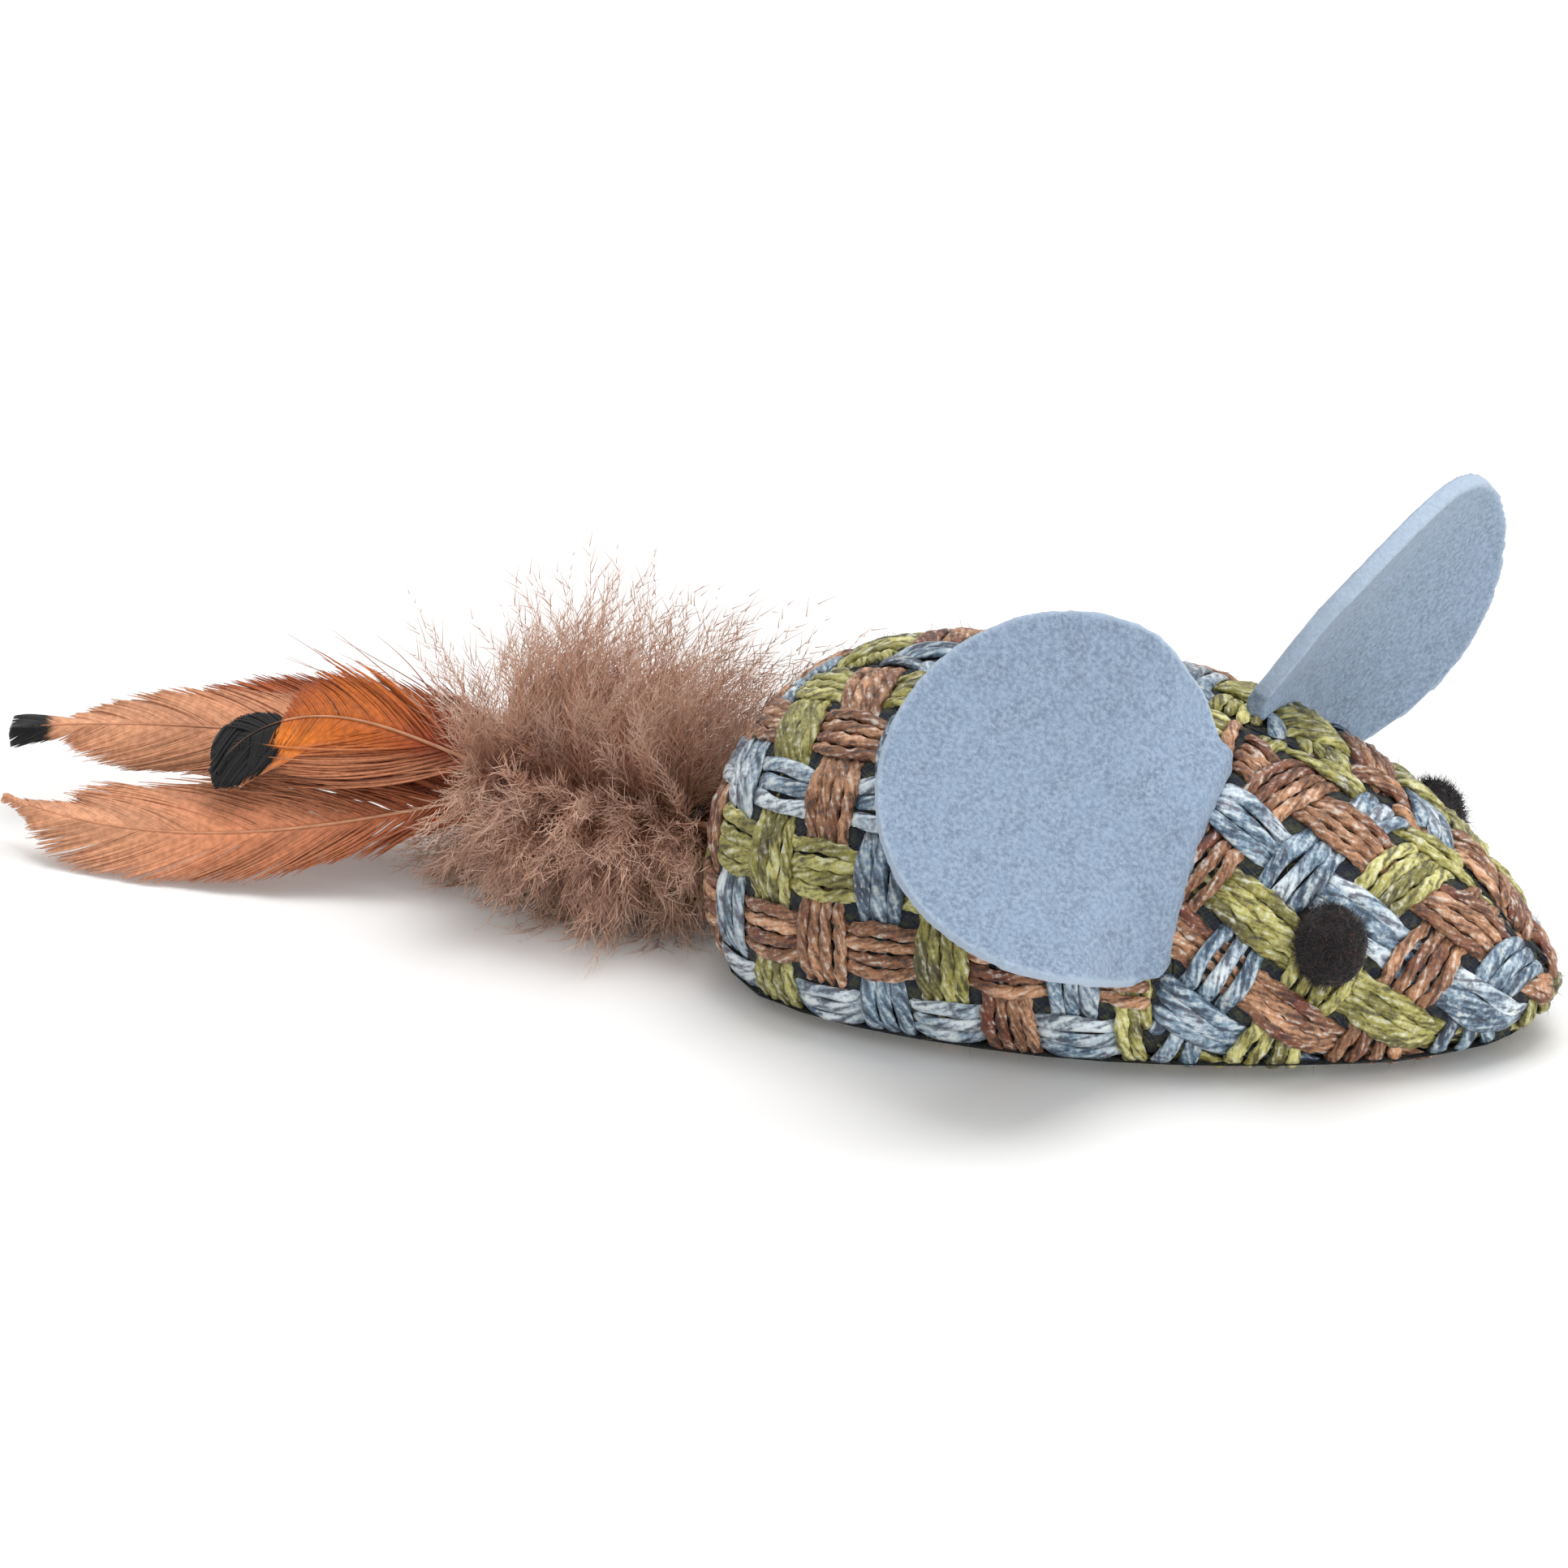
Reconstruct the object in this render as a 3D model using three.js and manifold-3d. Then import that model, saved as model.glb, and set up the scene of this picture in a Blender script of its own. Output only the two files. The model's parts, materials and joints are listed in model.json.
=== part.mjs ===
// A feather mouse toy: a stuffed mouse of woven fabric with two felt ears, two wool-felt eyes
// and a tail of four feathers with downy bases, bound together and held by a bead of glue.
// Millimetres. +X points to the nose, +Y to the mouse's left, +Z up. The origin lies on the
// flat underside, half way along the body.
import * as THREE from "three";
import { mergeVertices } from "three/addons/utils/BufferGeometryUtils.js";
import Module from "manifold-3d";

const wasm = await Module();
wasm.setup();

// The body's driving dimensions.
const bodyLength = 75;
const bodyWidth = 44.4;
const bodyHeight = 28.5;
const rearLevel = 8; // height of the widest level, from the rear end to the widest section
const noseLevel = 5; // height of the nose tip
const bellyDepth = 12.9; // depth of the full form below its widest level, before it is cut flat
const fabricThickness = 1.4;
const basePanelThickness = 1.6;
const clearance = 0.3; // between pieces that touch
const weldTolerance = 0.0005; // points closer than this are one point
const overrun = 150; // reach of every cutting block, past the whole toy

// The body's outline, in shares and exponents.
const widestShare = 0.4; // of the length, from the rear end
const rearRoundness = 2.8;
const sideTaper = 1.55;
const sideBluntness = 0.56;
const crownTaper = 2.6;
const crownBluntness = 0.85;
const crownRoundness = 2.25;
const bellyRoundness = 2.4;
const rearSteps = 8;
const noseSteps = 13;
const ringSteps = 32;

// The ears: felt discs cut by hand, each with a straight root sewn into the seam behind the
// head, and bowed about the line from root to rim.
const earSeamX = 9.2;
const earThickness = 1.6;
const rightEarRadius = 16;
const rightEarRootLength = 24.6;
const rightEarBowRadius = 50;
const leftEarRadius = 15.5;
const leftEarRootLength = 26;
const leftEarBowRadius = 37;
const earSteps = 22;

// The eyes: small balls of felted wool, sewn down onto the head.
const eyeRadius = 3.3;
const eyeRise = 2.8; // of the ball above the fabric
const eyeX = 21.3;
const eyeTurnShare = 0.26; // in quarter turns above the widest level
const eyeSteps = 16;

// The pouch of dried herb in the stuffing.
const pouchLength = 26;
const pouchWidth = 17;
const pouchHeight = 7;
const pouchX = -7;
const pouchSquareness = 3.5;
const pouchSteps = 24;
const pouchOutlineShares = [0.9, 1, 0.97, 0.7]; // of its length and width
const pouchHeightShares = [0, 0.3, 0.7, 1]; // of its height

// The tail's root: a bead of glue in a slot of the rear seam, and a whipping of thread round
// the quills, which lie on one another in a stack.
const beadRadius = 2.2;
const beadInset = 1.3; // of its middle, from the rear end of the body
const beadSteps = 16;
const slotHalfWidth = 3.4;
const slotHalfHeight = 3.6;
const slotDepth = fabricThickness + clearance;
const slotSteps = 24;
const bindingStart = 3.2; // from the bead's middle
const bindingLength = 2;
const bindingThickness = 0.55;
const bindingSteps = 24;
const quillPitch = 1.05; // from one quill to the next in the binding
const quillRadius = 0.4;

// The feathers lie in parallel planes, rolled towards the mouse's right side.
const featherRoll = 40; // degrees from level
const featherPitch = 2.4; // from one plane to the next
const downStart = 8; // from the bead's middle
const downEnd = 26.8;
const downThickness = 2;
const downEndWidthShare = 0.3;
const downFullness = 0.75;
const downSteps = 9;
const downSides = 10;
const vaneThickness = 0.5;
const vaneRootShare = 0.35; // of the vane's width
const vaneTipShare = 0.12;
const vaneFullness = 0.55;
const vaneSteps = 16;
const shaftTipRadius = 0.2;
const shaftReachShare = 0.93; // of the vane's length
const shaftSides = 6;
const spreadSteps = 5;
const backSide = 6; // each feather's side: its shaft's place across, where the down ends
const backLength = 31; // each feather's length: of its vane along the shaft
const backWidth = 8.5;
const backDownWidth = 24;
const backDownRise = 3; // each feather's down rise: of the down's middle above the shaft
const upperSide = 3.4;
const upperLength = 43.3;
const upperWidth = 7.4;
const upperDownWidth = 24;
const upperDownRise = 2.5;
const lowerSide = -1.2;
const lowerLength = 41.6;
const lowerWidth = 9;
const lowerDownWidth = 21;
const lowerDownRise = -0.4;
const heartSide = 2.6;
const heartLength = 24;
const heartWidth = 9;
const heartDownWidth = 23;
const heartDownRise = 0.6;

// The two ears. turnShare: place of the root's middle, in quarter turns above the widest level.
// backTurn: degrees back from standing straight out.
const ears = [
  {
    name: "ear_right", side: -1, turnShare: 0.48, backTurn: 68,
    radius: rightEarRadius, rootLength: rightEarRootLength, bowRadius: rightEarBowRadius,
  },
  {
    name: "ear_left", side: 1, turnShare: 0.58, backTurn: -35,
    radius: leftEarRadius, rootLength: leftEarRootLength, bowRadius: leftEarBowRadius,
  },
];

// The four feathers. place: in the stack, from the mouse's left. fan and bend: the shaft's slope
// where the down ends, and the turn that it makes from there to the tip, in degrees. bendPower:
// how late it turns.
const feathers = [
  {
    name: "back_feather", place: 0, fan: 12, bend: -26, bendPower: 1,
    side: backSide, length: backLength, width: backWidth,
    downWidth: backDownWidth, downRise: backDownRise,
  },
  {
    name: "upper_feather", place: 1, fan: 7, bend: -20, bendPower: 1,
    side: upperSide, length: upperLength, width: upperWidth,
    downWidth: upperDownWidth, downRise: upperDownRise,
  },
  {
    name: "lower_feather", place: 2, fan: -21, bend: 36, bendPower: 1.6,
    side: lowerSide, length: lowerLength, width: lowerWidth,
    downWidth: lowerDownWidth, downRise: lowerDownRise,
  },
  {
    name: "heart_feather", place: 3, fan: 14, bend: -98, bendPower: 2.4,
    side: heartSide, length: heartLength, width: heartWidth,
    downWidth: heartDownWidth, downRise: heartDownRise,
  },
];

const quarterTurn = Math.PI / 2;
const rearX = -bodyLength / 2;
const noseX = bodyLength / 2;
const beadX = rearX + beadInset;

// Geometry helpers.

// A manifold solid from a geometry: coincident vertices merged, empty faces left out, faces out.
function solid(geometry) {
  const bare = geometry.clone();
  bare.deleteAttribute("normal");
  bare.deleteAttribute("uv");
  const merged = mergeVertices(bare, weldTolerance);
  const index = merged.index.array;
  const faces = [];
  for (let f = 0; f < index.length; f += 3) {
    const [a, b, c] = [index[f], index[f + 1], index[f + 2]];
    if (a !== b && b !== c && c !== a) faces.push(a, b, c);
  }
  const make = (triangles) => new wasm.Manifold(new wasm.Mesh({
    numProp: 3,
    vertProperties: new Float32Array(merged.attributes.position.array),
    triVerts: new Uint32Array(triangles),
  }));
  const made = make(faces);
  return made.volume() > 0 ? made : make(faces.reverse());
}

function geometryOf(manifold) {
  const mesh = manifold.getMesh();
  const geometry = new THREE.BufferGeometry();
  geometry.setAttribute("position", new THREE.BufferAttribute(new Float32Array(mesh.vertProperties), 3));
  geometry.setIndex(new THREE.BufferAttribute(new Uint32Array(mesh.triVerts), 1));
  return geometry;
}

// A closed skin over rings that all have the same count of points. A ring may shrink to a point
// or a line at either end.
function loft(rings) {
  const count = rings[0].length;
  const last = (rings.length - 1) * count;
  const faces = [];
  for (let r = 0; r + 1 < rings.length; r++) {
    for (let i = 0; i < count; i++) {
      const [a, b] = [r * count + i, r * count + (i + 1) % count];
      faces.push(a, b, b + count, a, b + count, a + count);
    }
  }
  for (let i = 1; i + 1 < count; i++) {
    faces.push(0, i + 1, i);
    faces.push(last, last + i, last + i + 1);
  }
  const geometry = new THREE.BufferGeometry();
  const numbers = rings.flat().flatMap((point) => point.toArray());
  geometry.setAttribute("position", new THREE.Float32BufferAttribute(numbers, 3));
  geometry.setIndex(faces);
  return geometry;
}

function ringOf(count, pointAt) {
  return Array.from({ length: count }, (_, i) => pointAt((i / count) * 4 * quarterTurn));
}

// A block that holds everything on one side of a plane across an axis.
function beyond(axis, place, sign) {
  const block = new THREE.BoxGeometry(2 * overrun, 2 * overrun, 2 * overrun);
  const middle = new THREE.Vector3().setComponent(axis, place + sign * overrun);
  return solid(block.translate(...middle.toArray()));
}

function ball(radius, middle, steps) {
  return solid(new THREE.SphereGeometry(radius, steps, steps / 2).translate(...middle.toArray()));
}

function material(colour, roughness, metalness = 0) {
  return new THREE.MeshStandardMaterial({ color: colour, roughness, metalness });
}

function signedPower(value, power) {
  return Math.sign(value) * Math.abs(value) ** power;
}

// The body's form.

// How far the outline has swollen, from 0 at either end to 1 at the widest section.
function swell(u, taper, bluntness) {
  if (u < widestShare) return (1 - (1 - u / widestShare) ** rearRoundness) ** (1 / rearRoundness);
  const share = (u - widestShare) / (1 - widestShare);
  return Math.max(0, 1 - share ** taper) ** bluntness;
}

function levelAt(u) {
  return THREE.MathUtils.mapLinear(Math.max(u, widestShare), widestShare, 1, rearLevel, noseLevel);
}

// A point of the form drawn in by an inset. turn 0 is the left side, a quarter turn the crown.
function bodyPoint(u, turn, inset = 0) {
  const [across, up] = [Math.cos(turn), Math.sin(turn)];
  const power = 2 / (up > 0 ? crownRoundness : bellyRoundness);
  const width = (bodyWidth / 2 - inset) * swell(u, sideTaper, sideBluntness);
  const crown = (bodyHeight - rearLevel - inset) * swell(u, crownTaper, crownBluntness);
  const belly = (bellyDepth - inset) * swell(u, sideTaper, sideBluntness);
  return new THREE.Vector3(
    THREE.MathUtils.lerp(rearX + inset, noseX - inset, u),
    width * signedPower(across, power),
    levelAt(u) + (up > 0 ? crown : belly) * signedPower(up, power),
  );
}

// Stations along the form, crowded towards both ends.
function bodyStations() {
  const rear = Array.from({ length: rearSteps }, (_, i) => 1 - Math.cos((i / rearSteps) * quarterTurn));
  const nose = Array.from({ length: noseSteps + 1 }, (_, i) => Math.sin((i / noseSteps) * quarterTurn));
  return [...rear.map((s) => widestShare * s), ...nose.map((s) => widestShare + (1 - widestShare) * s)];
}

function bodyForm(inset) {
  return solid(loft(bodyStations().map((u) => ringOf(ringSteps, (turn) => bodyPoint(u, turn, inset)))));
}

// A frame on the body's skin: its point, the way along the section towards the crown, and out.
function skinFrame(x, turnShare, side) {
  const u = (x - rearX) / bodyLength;
  const turn = turnShare * quarterTurn;
  const step = quarterTurn / ringSteps;
  const mirror = new THREE.Vector3(1, side, 1);
  const point = bodyPoint(u, turn).multiply(mirror);
  const along = bodyPoint(u, turn + step).multiply(mirror).sub(point).normalize();
  const out = new THREE.Vector3(0, side * along.z, -side * along.y);
  return { point, along, out };
}

// The pieces.

const pieces = new THREE.Group();
pieces.name = "feather_mouse_toy";

function addPiece(name, shape, look) {
  const mesh = new THREE.Mesh(geometryOf(shape), look);
  mesh.name = name;
  pieces.add(mesh);
  return mesh;
}

const fabric = () => material(0x7d8072, 0.85);
const outerForm = bodyForm(0);
const innerForm = bodyForm(fabricThickness);
const beadMiddle = new THREE.Vector3(beadX, 0, rearLevel);

// The slot in the rear seam, which the quills swing in.
function slot() {
  const ringAt = (x) => ringOf(slotSteps, (turn) => new THREE.Vector3(
    x, slotHalfWidth * Math.cos(turn), rearLevel + slotHalfHeight * Math.sin(turn)));
  return solid(loft([ringAt(rearX - slotDepth), ringAt(rearX + slotDepth)]));
}

// Four panels of woven fabric round the stuffing, sewn along the back and behind the head, and a
// flat panel under them.
function addPanels() {
  const aboveBase = beyond(2, basePanelThickness + clearance, 1);
  const shell = outerForm.subtract(innerForm).intersect(aboveBase).subtract(slot());
  const parts = [["rear", earSeamX - clearance / 2, -1], ["head", earSeamX + clearance / 2, 1]];
  for (const [part, place, end] of parts) {
    const girth = shell.intersect(beyond(0, place, end));
    for (const [name, side] of [["right", -1], ["left", 1]]) {
      const panel = girth.intersect(beyond(1, side * clearance / 2, side));
      addPiece(`${part}_panel_${name}`, panel, fabric());
    }
  }
  const slab = outerForm.intersect(beyond(2, 0, 1)).intersect(beyond(2, basePanelThickness, -1));
  addPiece("base_panel", slab, fabric());
}

function pouchRing(outlineShare, height, spare) {
  return ringOf(pouchSteps, (turn) => new THREE.Vector3(
    pouchX + (outlineShare * pouchLength / 2 + spare) * signedPower(Math.cos(turn), 2 / pouchSquareness),
    (outlineShare * pouchWidth / 2 + spare) * signedPower(Math.sin(turn), 2 / pouchSquareness),
    height,
  ));
}

// The stuffing fills the panels, round a pouch of dried herb that lies on the base panel.
function addFilling() {
  const floor = basePanelThickness + clearance;
  const pocketHeights = [0, floor + pouchHeight + clearance];
  const pocket = solid(loft(pocketHeights.map((height) => pouchRing(1, height, clearance))));
  const beadPocket = ball(beadRadius + clearance, beadMiddle, beadSteps);
  const stuffing = bodyForm(fabricThickness + clearance)
    .intersect(beyond(2, floor, 1))
    .subtract(pocket)
    .subtract(beadPocket)
    .subtract(slot());
  addPiece("stuffing", stuffing, material(0xf0ede4, 0.95));
  const pouchHeights = pouchHeightShares.map((share) => floor + share * pouchHeight);
  const rings = pouchHeights.map((height, i) => pouchRing(pouchOutlineShares[i], height, 0));
  addPiece("herb_pouch", solid(loft(rings)), material(0xd8cfae, 0.9));
}

// One ear in its own frame: root along x, rim towards +y, and its hollow side towards -z.
function earGeometry({ radius, rootLength, bowRadius }) {
  const rise = Math.sqrt(radius ** 2 - (rootLength / 2) ** 2);
  const rings = [];
  for (let i = 0; i <= earSteps; i++) {
    const across = -radius * Math.cos((i / earSteps) * 2 * quarterTurn);
    const reach = Math.sqrt(Math.max(0, radius ** 2 - across ** 2));
    const low = Math.max(0, rise - reach);
    const bow = -(across ** 2) / (2 * bowRadius);
    const corners = [[low, -1], [rise + reach, -1], [rise + reach, 1], [low, 1]];
    const pointAt = ([up, face]) => new THREE.Vector3(across, up, bow + face * earThickness / 2);
    rings.push(corners.map(pointAt));
  }
  return loft(rings);
}

// Each ear's root stands just clear of the fabric, so that the ear can turn about it.
function addEars() {
  const felt = () => material(0x9db0c6, 0.95);
  for (const ear of ears) {
    const { point, along, out } = skinFrame(earSeamX, ear.turnShare, ear.side);
    const turn = THREE.MathUtils.degToRad(ear.backTurn);
    const up = out.clone().multiplyScalar(Math.cos(turn)).setX(-Math.sin(turn));
    const across = along.clone().multiplyScalar(ear.side);
    const face = new THREE.Vector3().crossVectors(across, up);
    const frame = new THREE.Matrix4().makeBasis(across, up, face);
    const disc = addPiece(ear.name, solid(earGeometry(ear)), felt());
    disc.quaternion.setFromRotationMatrix(frame);
    disc.position.copy(point).addScaledVector(out, clearance + earThickness / 2);
  }
}

// The eyes are balls cut by the head's skin.
function addEyes() {
  const skin = bodyForm(-clearance);
  for (const [name, side] of [["eye_right", -1], ["eye_left", 1]]) {
    const { point, out } = skinFrame(eyeX, eyeTurnShare, side);
    const middle = point.clone().addScaledVector(out, eyeRise - eyeRadius);
    addPiece(name, ball(eyeRadius, middle, eyeSteps).subtract(skin), material(0x15100f, 0.9));
  }
}

// The feathers' frame: away runs along the tail from the bead's middle, over runs across the
// feathers, and facing runs from one feather's plane to the next.
const rollAngle = THREE.MathUtils.degToRad(featherRoll);
const away = new THREE.Vector3(-1, 0, 0);
const over = new THREE.Vector3(0, Math.cos(rollAngle), Math.sin(rollAngle));
const facing = new THREE.Vector3(0, -Math.sin(rollAngle), Math.cos(rollAngle));

function tailPoint(along, across, level) {
  return beadMiddle.clone()
    .addScaledVector(away, along)
    .addScaledVector(over, across)
    .addScaledVector(facing, level);
}

function stackLevel(place, pitch) {
  return (place - (feathers.length - 1) / 2) * pitch;
}

// The shaft's line, as stations that each hold a place along and across, a slope and a level.
function quillLine({ place, side, fan }) {
  const slope = Math.tan(THREE.MathUtils.degToRad(fan));
  const [low, high] = [stackLevel(place, quillPitch), stackLevel(place, featherPitch)];
  const bindingEnd = bindingStart + bindingLength;
  const line = [{ along: beadRadius + clearance, across: 0, slope: 0, level: low }];
  for (let i = 0; i <= spreadSteps; i++) {
    const share = i / spreadSteps;
    const level = THREE.MathUtils.lerp(low, high, THREE.MathUtils.smoothstep(share, 0, 1));
    const along = THREE.MathUtils.lerp(bindingEnd, downStart, share);
    line.push({ along, across: 0, slope: 0, level });
  }
  const run = downEnd - downStart;
  for (let i = 1; i <= downSteps; i++) {
    const t = i / downSteps;
    const across = side * t ** 2 * (3 - 2 * t) + slope * run * (t ** 3 - t ** 2);
    const grade = (side * 6 * t * (1 - t)) / run + slope * (3 * t ** 2 - 2 * t);
    line.push({ along: downStart + run * t, across, slope: Math.atan(grade), level: high });
  }
  return line;
}

function bladeLine({ place, side, fan, bend, bendPower, length }, reachShare) {
  const level = stackLevel(place, featherPitch);
  const step = (length * reachShare) / vaneSteps;
  const line = [{ along: downEnd, across: side, slope: THREE.MathUtils.degToRad(fan), level, share: 0 }];
  for (let i = 1; i <= vaneSteps; i++) {
    const before = line[i - 1];
    const share = (i / vaneSteps) * reachShare;
    const slope = THREE.MathUtils.degToRad(fan + bend * share ** bendPower);
    const middle = (before.slope + slope) / 2;
    const along = before.along + step * Math.cos(middle);
    line.push({ along, across: before.across + step * Math.sin(middle), slope, level, share });
  }
  return line;
}

// A place beside the shaft's line: aside of it in the feather's plane, and above that plane.
function beside({ along, across, slope, level }, aside, above = 0) {
  return tailPoint(along - aside * Math.sin(slope), across + aside * Math.cos(slope), level + above);
}

function shaftGeometry(feather, spare) {
  const blade = bladeLine(feather, shaftReachShare).slice(1);
  const line = [...quillLine(feather), ...blade];
  const bladeRadius = (share) => THREE.MathUtils.lerp(quillRadius, shaftTipRadius, share);
  return loft(line.map((station) => {
    const radius = bladeRadius(station.share ?? 0) + spare;
    return ringOf(shaftSides, (turn) => beside(station, radius * Math.cos(turn), radius * Math.sin(turn)));
  }));
}

// The vane lies under its shaft, widest before its middle and drawn in at both ends.
function vaneGeometry(feather) {
  const under = -(quillRadius + clearance + vaneThickness / 2);
  return loft(bladeLine(feather, 1).map((station) => {
    const start = THREE.MathUtils.lerp(vaneRootShare, 1, Math.min(1, station.share / (1 - vaneFullness)));
    const end = Math.sqrt(Math.max(0, 1 - station.share ** (1 / (1 - vaneFullness))));
    const half = (feather.width / 2) * start * Math.max(vaneTipShare, end);
    const corners = [[-1, -1], [1, -1], [1, 1], [-1, 1]];
    return corners.map(([aside, face]) => beside(
      { ...station, along: station.along + clearance }, aside * half, under + face * vaneThickness / 2));
  }));
}

// The down is a flat tuft round the quill, cut through by it.
function downSolid(feather) {
  const line = quillLine(feather).slice(1 + spreadSteps);
  const tuft = loft(line.map((station, i) => {
    const share = i / downSteps;
    const swollen = Math.sin(share * 2 * quarterTurn) ** downFullness;
    const half = (feather.downWidth / 2) * THREE.MathUtils.lerp(downEndWidthShare, 1, swollen);
    return ringOf(downSides, (turn) => beside(
      station, swollen * feather.downRise + half * Math.sin(turn), (downThickness / 2) * Math.cos(turn)));
  }));
  return solid(tuft).subtract(solid(shaftGeometry(feather, clearance)));
}

function addTail() {
  addPiece("glue_bead", ball(beadRadius, beadMiddle, beadSteps), material(0xd9c58f, 0.4));
  const inner = stackLevel(feathers.length - 1, quillPitch) + quillRadius + clearance;
  const outer = inner + bindingThickness;
  const edge = bindingThickness / 2;
  const profile = [
    [inner, 0], [inner + edge, 0], [outer, edge], [outer, bindingLength - edge],
    [inner + edge, bindingLength], [inner, bindingLength], [inner, 0],
  ].map(([radius, height]) => new THREE.Vector2(radius, height));
  const winding = solid(new THREE.LatheGeometry(profile, bindingSteps));
  const binding = addPiece("quill_binding", winding, material(0x3a2e26, 0.8));
  binding.rotation.z = quarterTurn;
  binding.position.set(beadX - bindingStart, 0, rearLevel);
  for (const feather of feathers) {
    addPiece(`${feather.name}_shaft`, solid(shaftGeometry(feather, 0)), material(0x8a5a34, 0.5));
    addPiece(`${feather.name}_vane`, solid(vaneGeometry(feather)), material(0xd9793f, 0.6));
    addPiece(`${feather.name}_down`, downSolid(feather), material(0x8f7265, 0.95));
  }
}

addPanels();
addFilling();
addEars();
addEyes();
addTail();

export default pieces;
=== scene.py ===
# %% [markdown]
# # A feather mouse toy
# A stuffed mouse of coarse tweed, with two felt ears, two wool eyes and a tail of four
# feathers. The CAD model already holds every solid and every joint. This lesson dresses it
# piece by piece: each soft solid gets a piece that has real yarns, fibres or barbs, and each
# of these but the two ears rides on the CAD body that carries it.

import json
import math

import bpy
import numpy as np
from mathutils import Matrix, Vector
from mathutils.bvhtree import BVHTree

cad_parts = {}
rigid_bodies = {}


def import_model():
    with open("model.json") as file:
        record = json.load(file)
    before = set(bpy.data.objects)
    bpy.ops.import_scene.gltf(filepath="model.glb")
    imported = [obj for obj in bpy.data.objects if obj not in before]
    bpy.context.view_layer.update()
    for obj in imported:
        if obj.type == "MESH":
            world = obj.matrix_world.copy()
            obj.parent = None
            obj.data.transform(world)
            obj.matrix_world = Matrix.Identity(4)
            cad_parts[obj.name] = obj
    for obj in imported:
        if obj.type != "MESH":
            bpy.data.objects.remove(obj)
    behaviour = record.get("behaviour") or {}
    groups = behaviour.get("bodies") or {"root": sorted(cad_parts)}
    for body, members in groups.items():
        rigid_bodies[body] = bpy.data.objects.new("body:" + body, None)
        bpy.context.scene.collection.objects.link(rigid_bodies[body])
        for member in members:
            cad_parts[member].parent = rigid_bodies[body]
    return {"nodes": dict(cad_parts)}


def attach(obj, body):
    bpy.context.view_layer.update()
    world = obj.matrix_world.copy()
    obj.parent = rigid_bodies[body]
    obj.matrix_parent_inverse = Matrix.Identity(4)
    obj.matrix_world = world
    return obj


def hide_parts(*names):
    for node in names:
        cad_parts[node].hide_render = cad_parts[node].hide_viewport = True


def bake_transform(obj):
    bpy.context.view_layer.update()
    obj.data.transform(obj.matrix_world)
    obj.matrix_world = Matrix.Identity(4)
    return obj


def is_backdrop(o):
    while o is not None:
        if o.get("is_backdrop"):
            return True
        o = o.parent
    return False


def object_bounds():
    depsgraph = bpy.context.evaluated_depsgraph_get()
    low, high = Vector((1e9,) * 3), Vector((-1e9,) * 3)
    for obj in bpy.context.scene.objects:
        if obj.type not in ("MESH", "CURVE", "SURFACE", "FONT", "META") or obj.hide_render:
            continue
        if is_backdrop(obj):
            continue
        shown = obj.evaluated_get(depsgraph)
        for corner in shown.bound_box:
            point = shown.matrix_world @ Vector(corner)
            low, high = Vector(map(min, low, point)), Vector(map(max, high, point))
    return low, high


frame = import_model()
cad_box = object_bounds()
MM = 0.001
rng = np.random.default_rng(11)

# %% [markdown]
# ## The camera
# The picture was taken from the mouse's right, 19 degrees round towards its nose and 25
# degrees up, with a long lens. The camera looks along that line at the origin, and its shift
# moves the mouse to where the picture has it, so that no perspective changes.

# %% Camera
view_turn = math.radians(19)
view_rise = math.radians(25)
camera_distance = 900 * MM
image_width = 1932
origin_right = 440.2  # pixels from the middle of the image
origin_below = 243.0
pixels_per_mm = 14.458  # at the origin
sensor = 36.0

back = Vector((
    math.sin(view_turn) * math.cos(view_rise),
    -math.cos(view_turn) * math.cos(view_rise),
    math.sin(view_rise),
))
right = Vector((math.cos(view_turn), math.sin(view_turn), 0))
bpy.ops.object.camera_add()
camera = bpy.context.object
camera.matrix_world = (
    Matrix.Translation(back * camera_distance)
    @ Matrix((right, back.cross(right), back)).transposed().to_4x4()
)
camera.data.sensor_width = sensor
camera.data.lens = pixels_per_mm * (camera_distance / MM) / image_width * sensor
camera.data.shift_x = -origin_right / image_width
camera.data.shift_y = origin_below / image_width
camera.data.clip_end = 10
bpy.context.scene.camera = camera
print("lens", round(camera.data.lens, 1), "mm")

# %% [markdown]
# ## Writing materials as sums
# A shader is a graph of nodes, but much of it is plain arithmetic. `Wire` wraps one socket, so
# that `1 - mask` adds the Math node for it. `Finish` is a material: its `node` method adds any
# other node, with its settings first and then the values or wires of its sockets.


# %% Wire and Finish
class Wire:
    """A socket that can stand in a sum."""

    def __init__(self, finish, socket):
        self.finish = finish
        self.socket = socket

    def math(self, operation, *others):
        inputs = dict(enumerate((self, *others)))
        return self.finish.node("ShaderNodeMath", {"operation": operation}, inputs)

    def __add__(self, other):
        return self.math("ADD", other)

    def __mul__(self, other):
        return self.math("MULTIPLY", other)

    def __sub__(self, other):
        return self.math("SUBTRACT", other)

    def __rsub__(self, other):
        return self.math("MULTIPLY_ADD", -1.0, other)

    __radd__ = __add__
    __rmul__ = __mul__

    def between(self, low, high):
        """0 below low, 1 above high, smooth between them."""
        settings = {"interpolation_type": "SMOOTHSTEP"}
        inputs = {"Value": self, "From Min": low, "From Max": high}
        return self.finish.node("ShaderNodeMapRange", settings, inputs)


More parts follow.
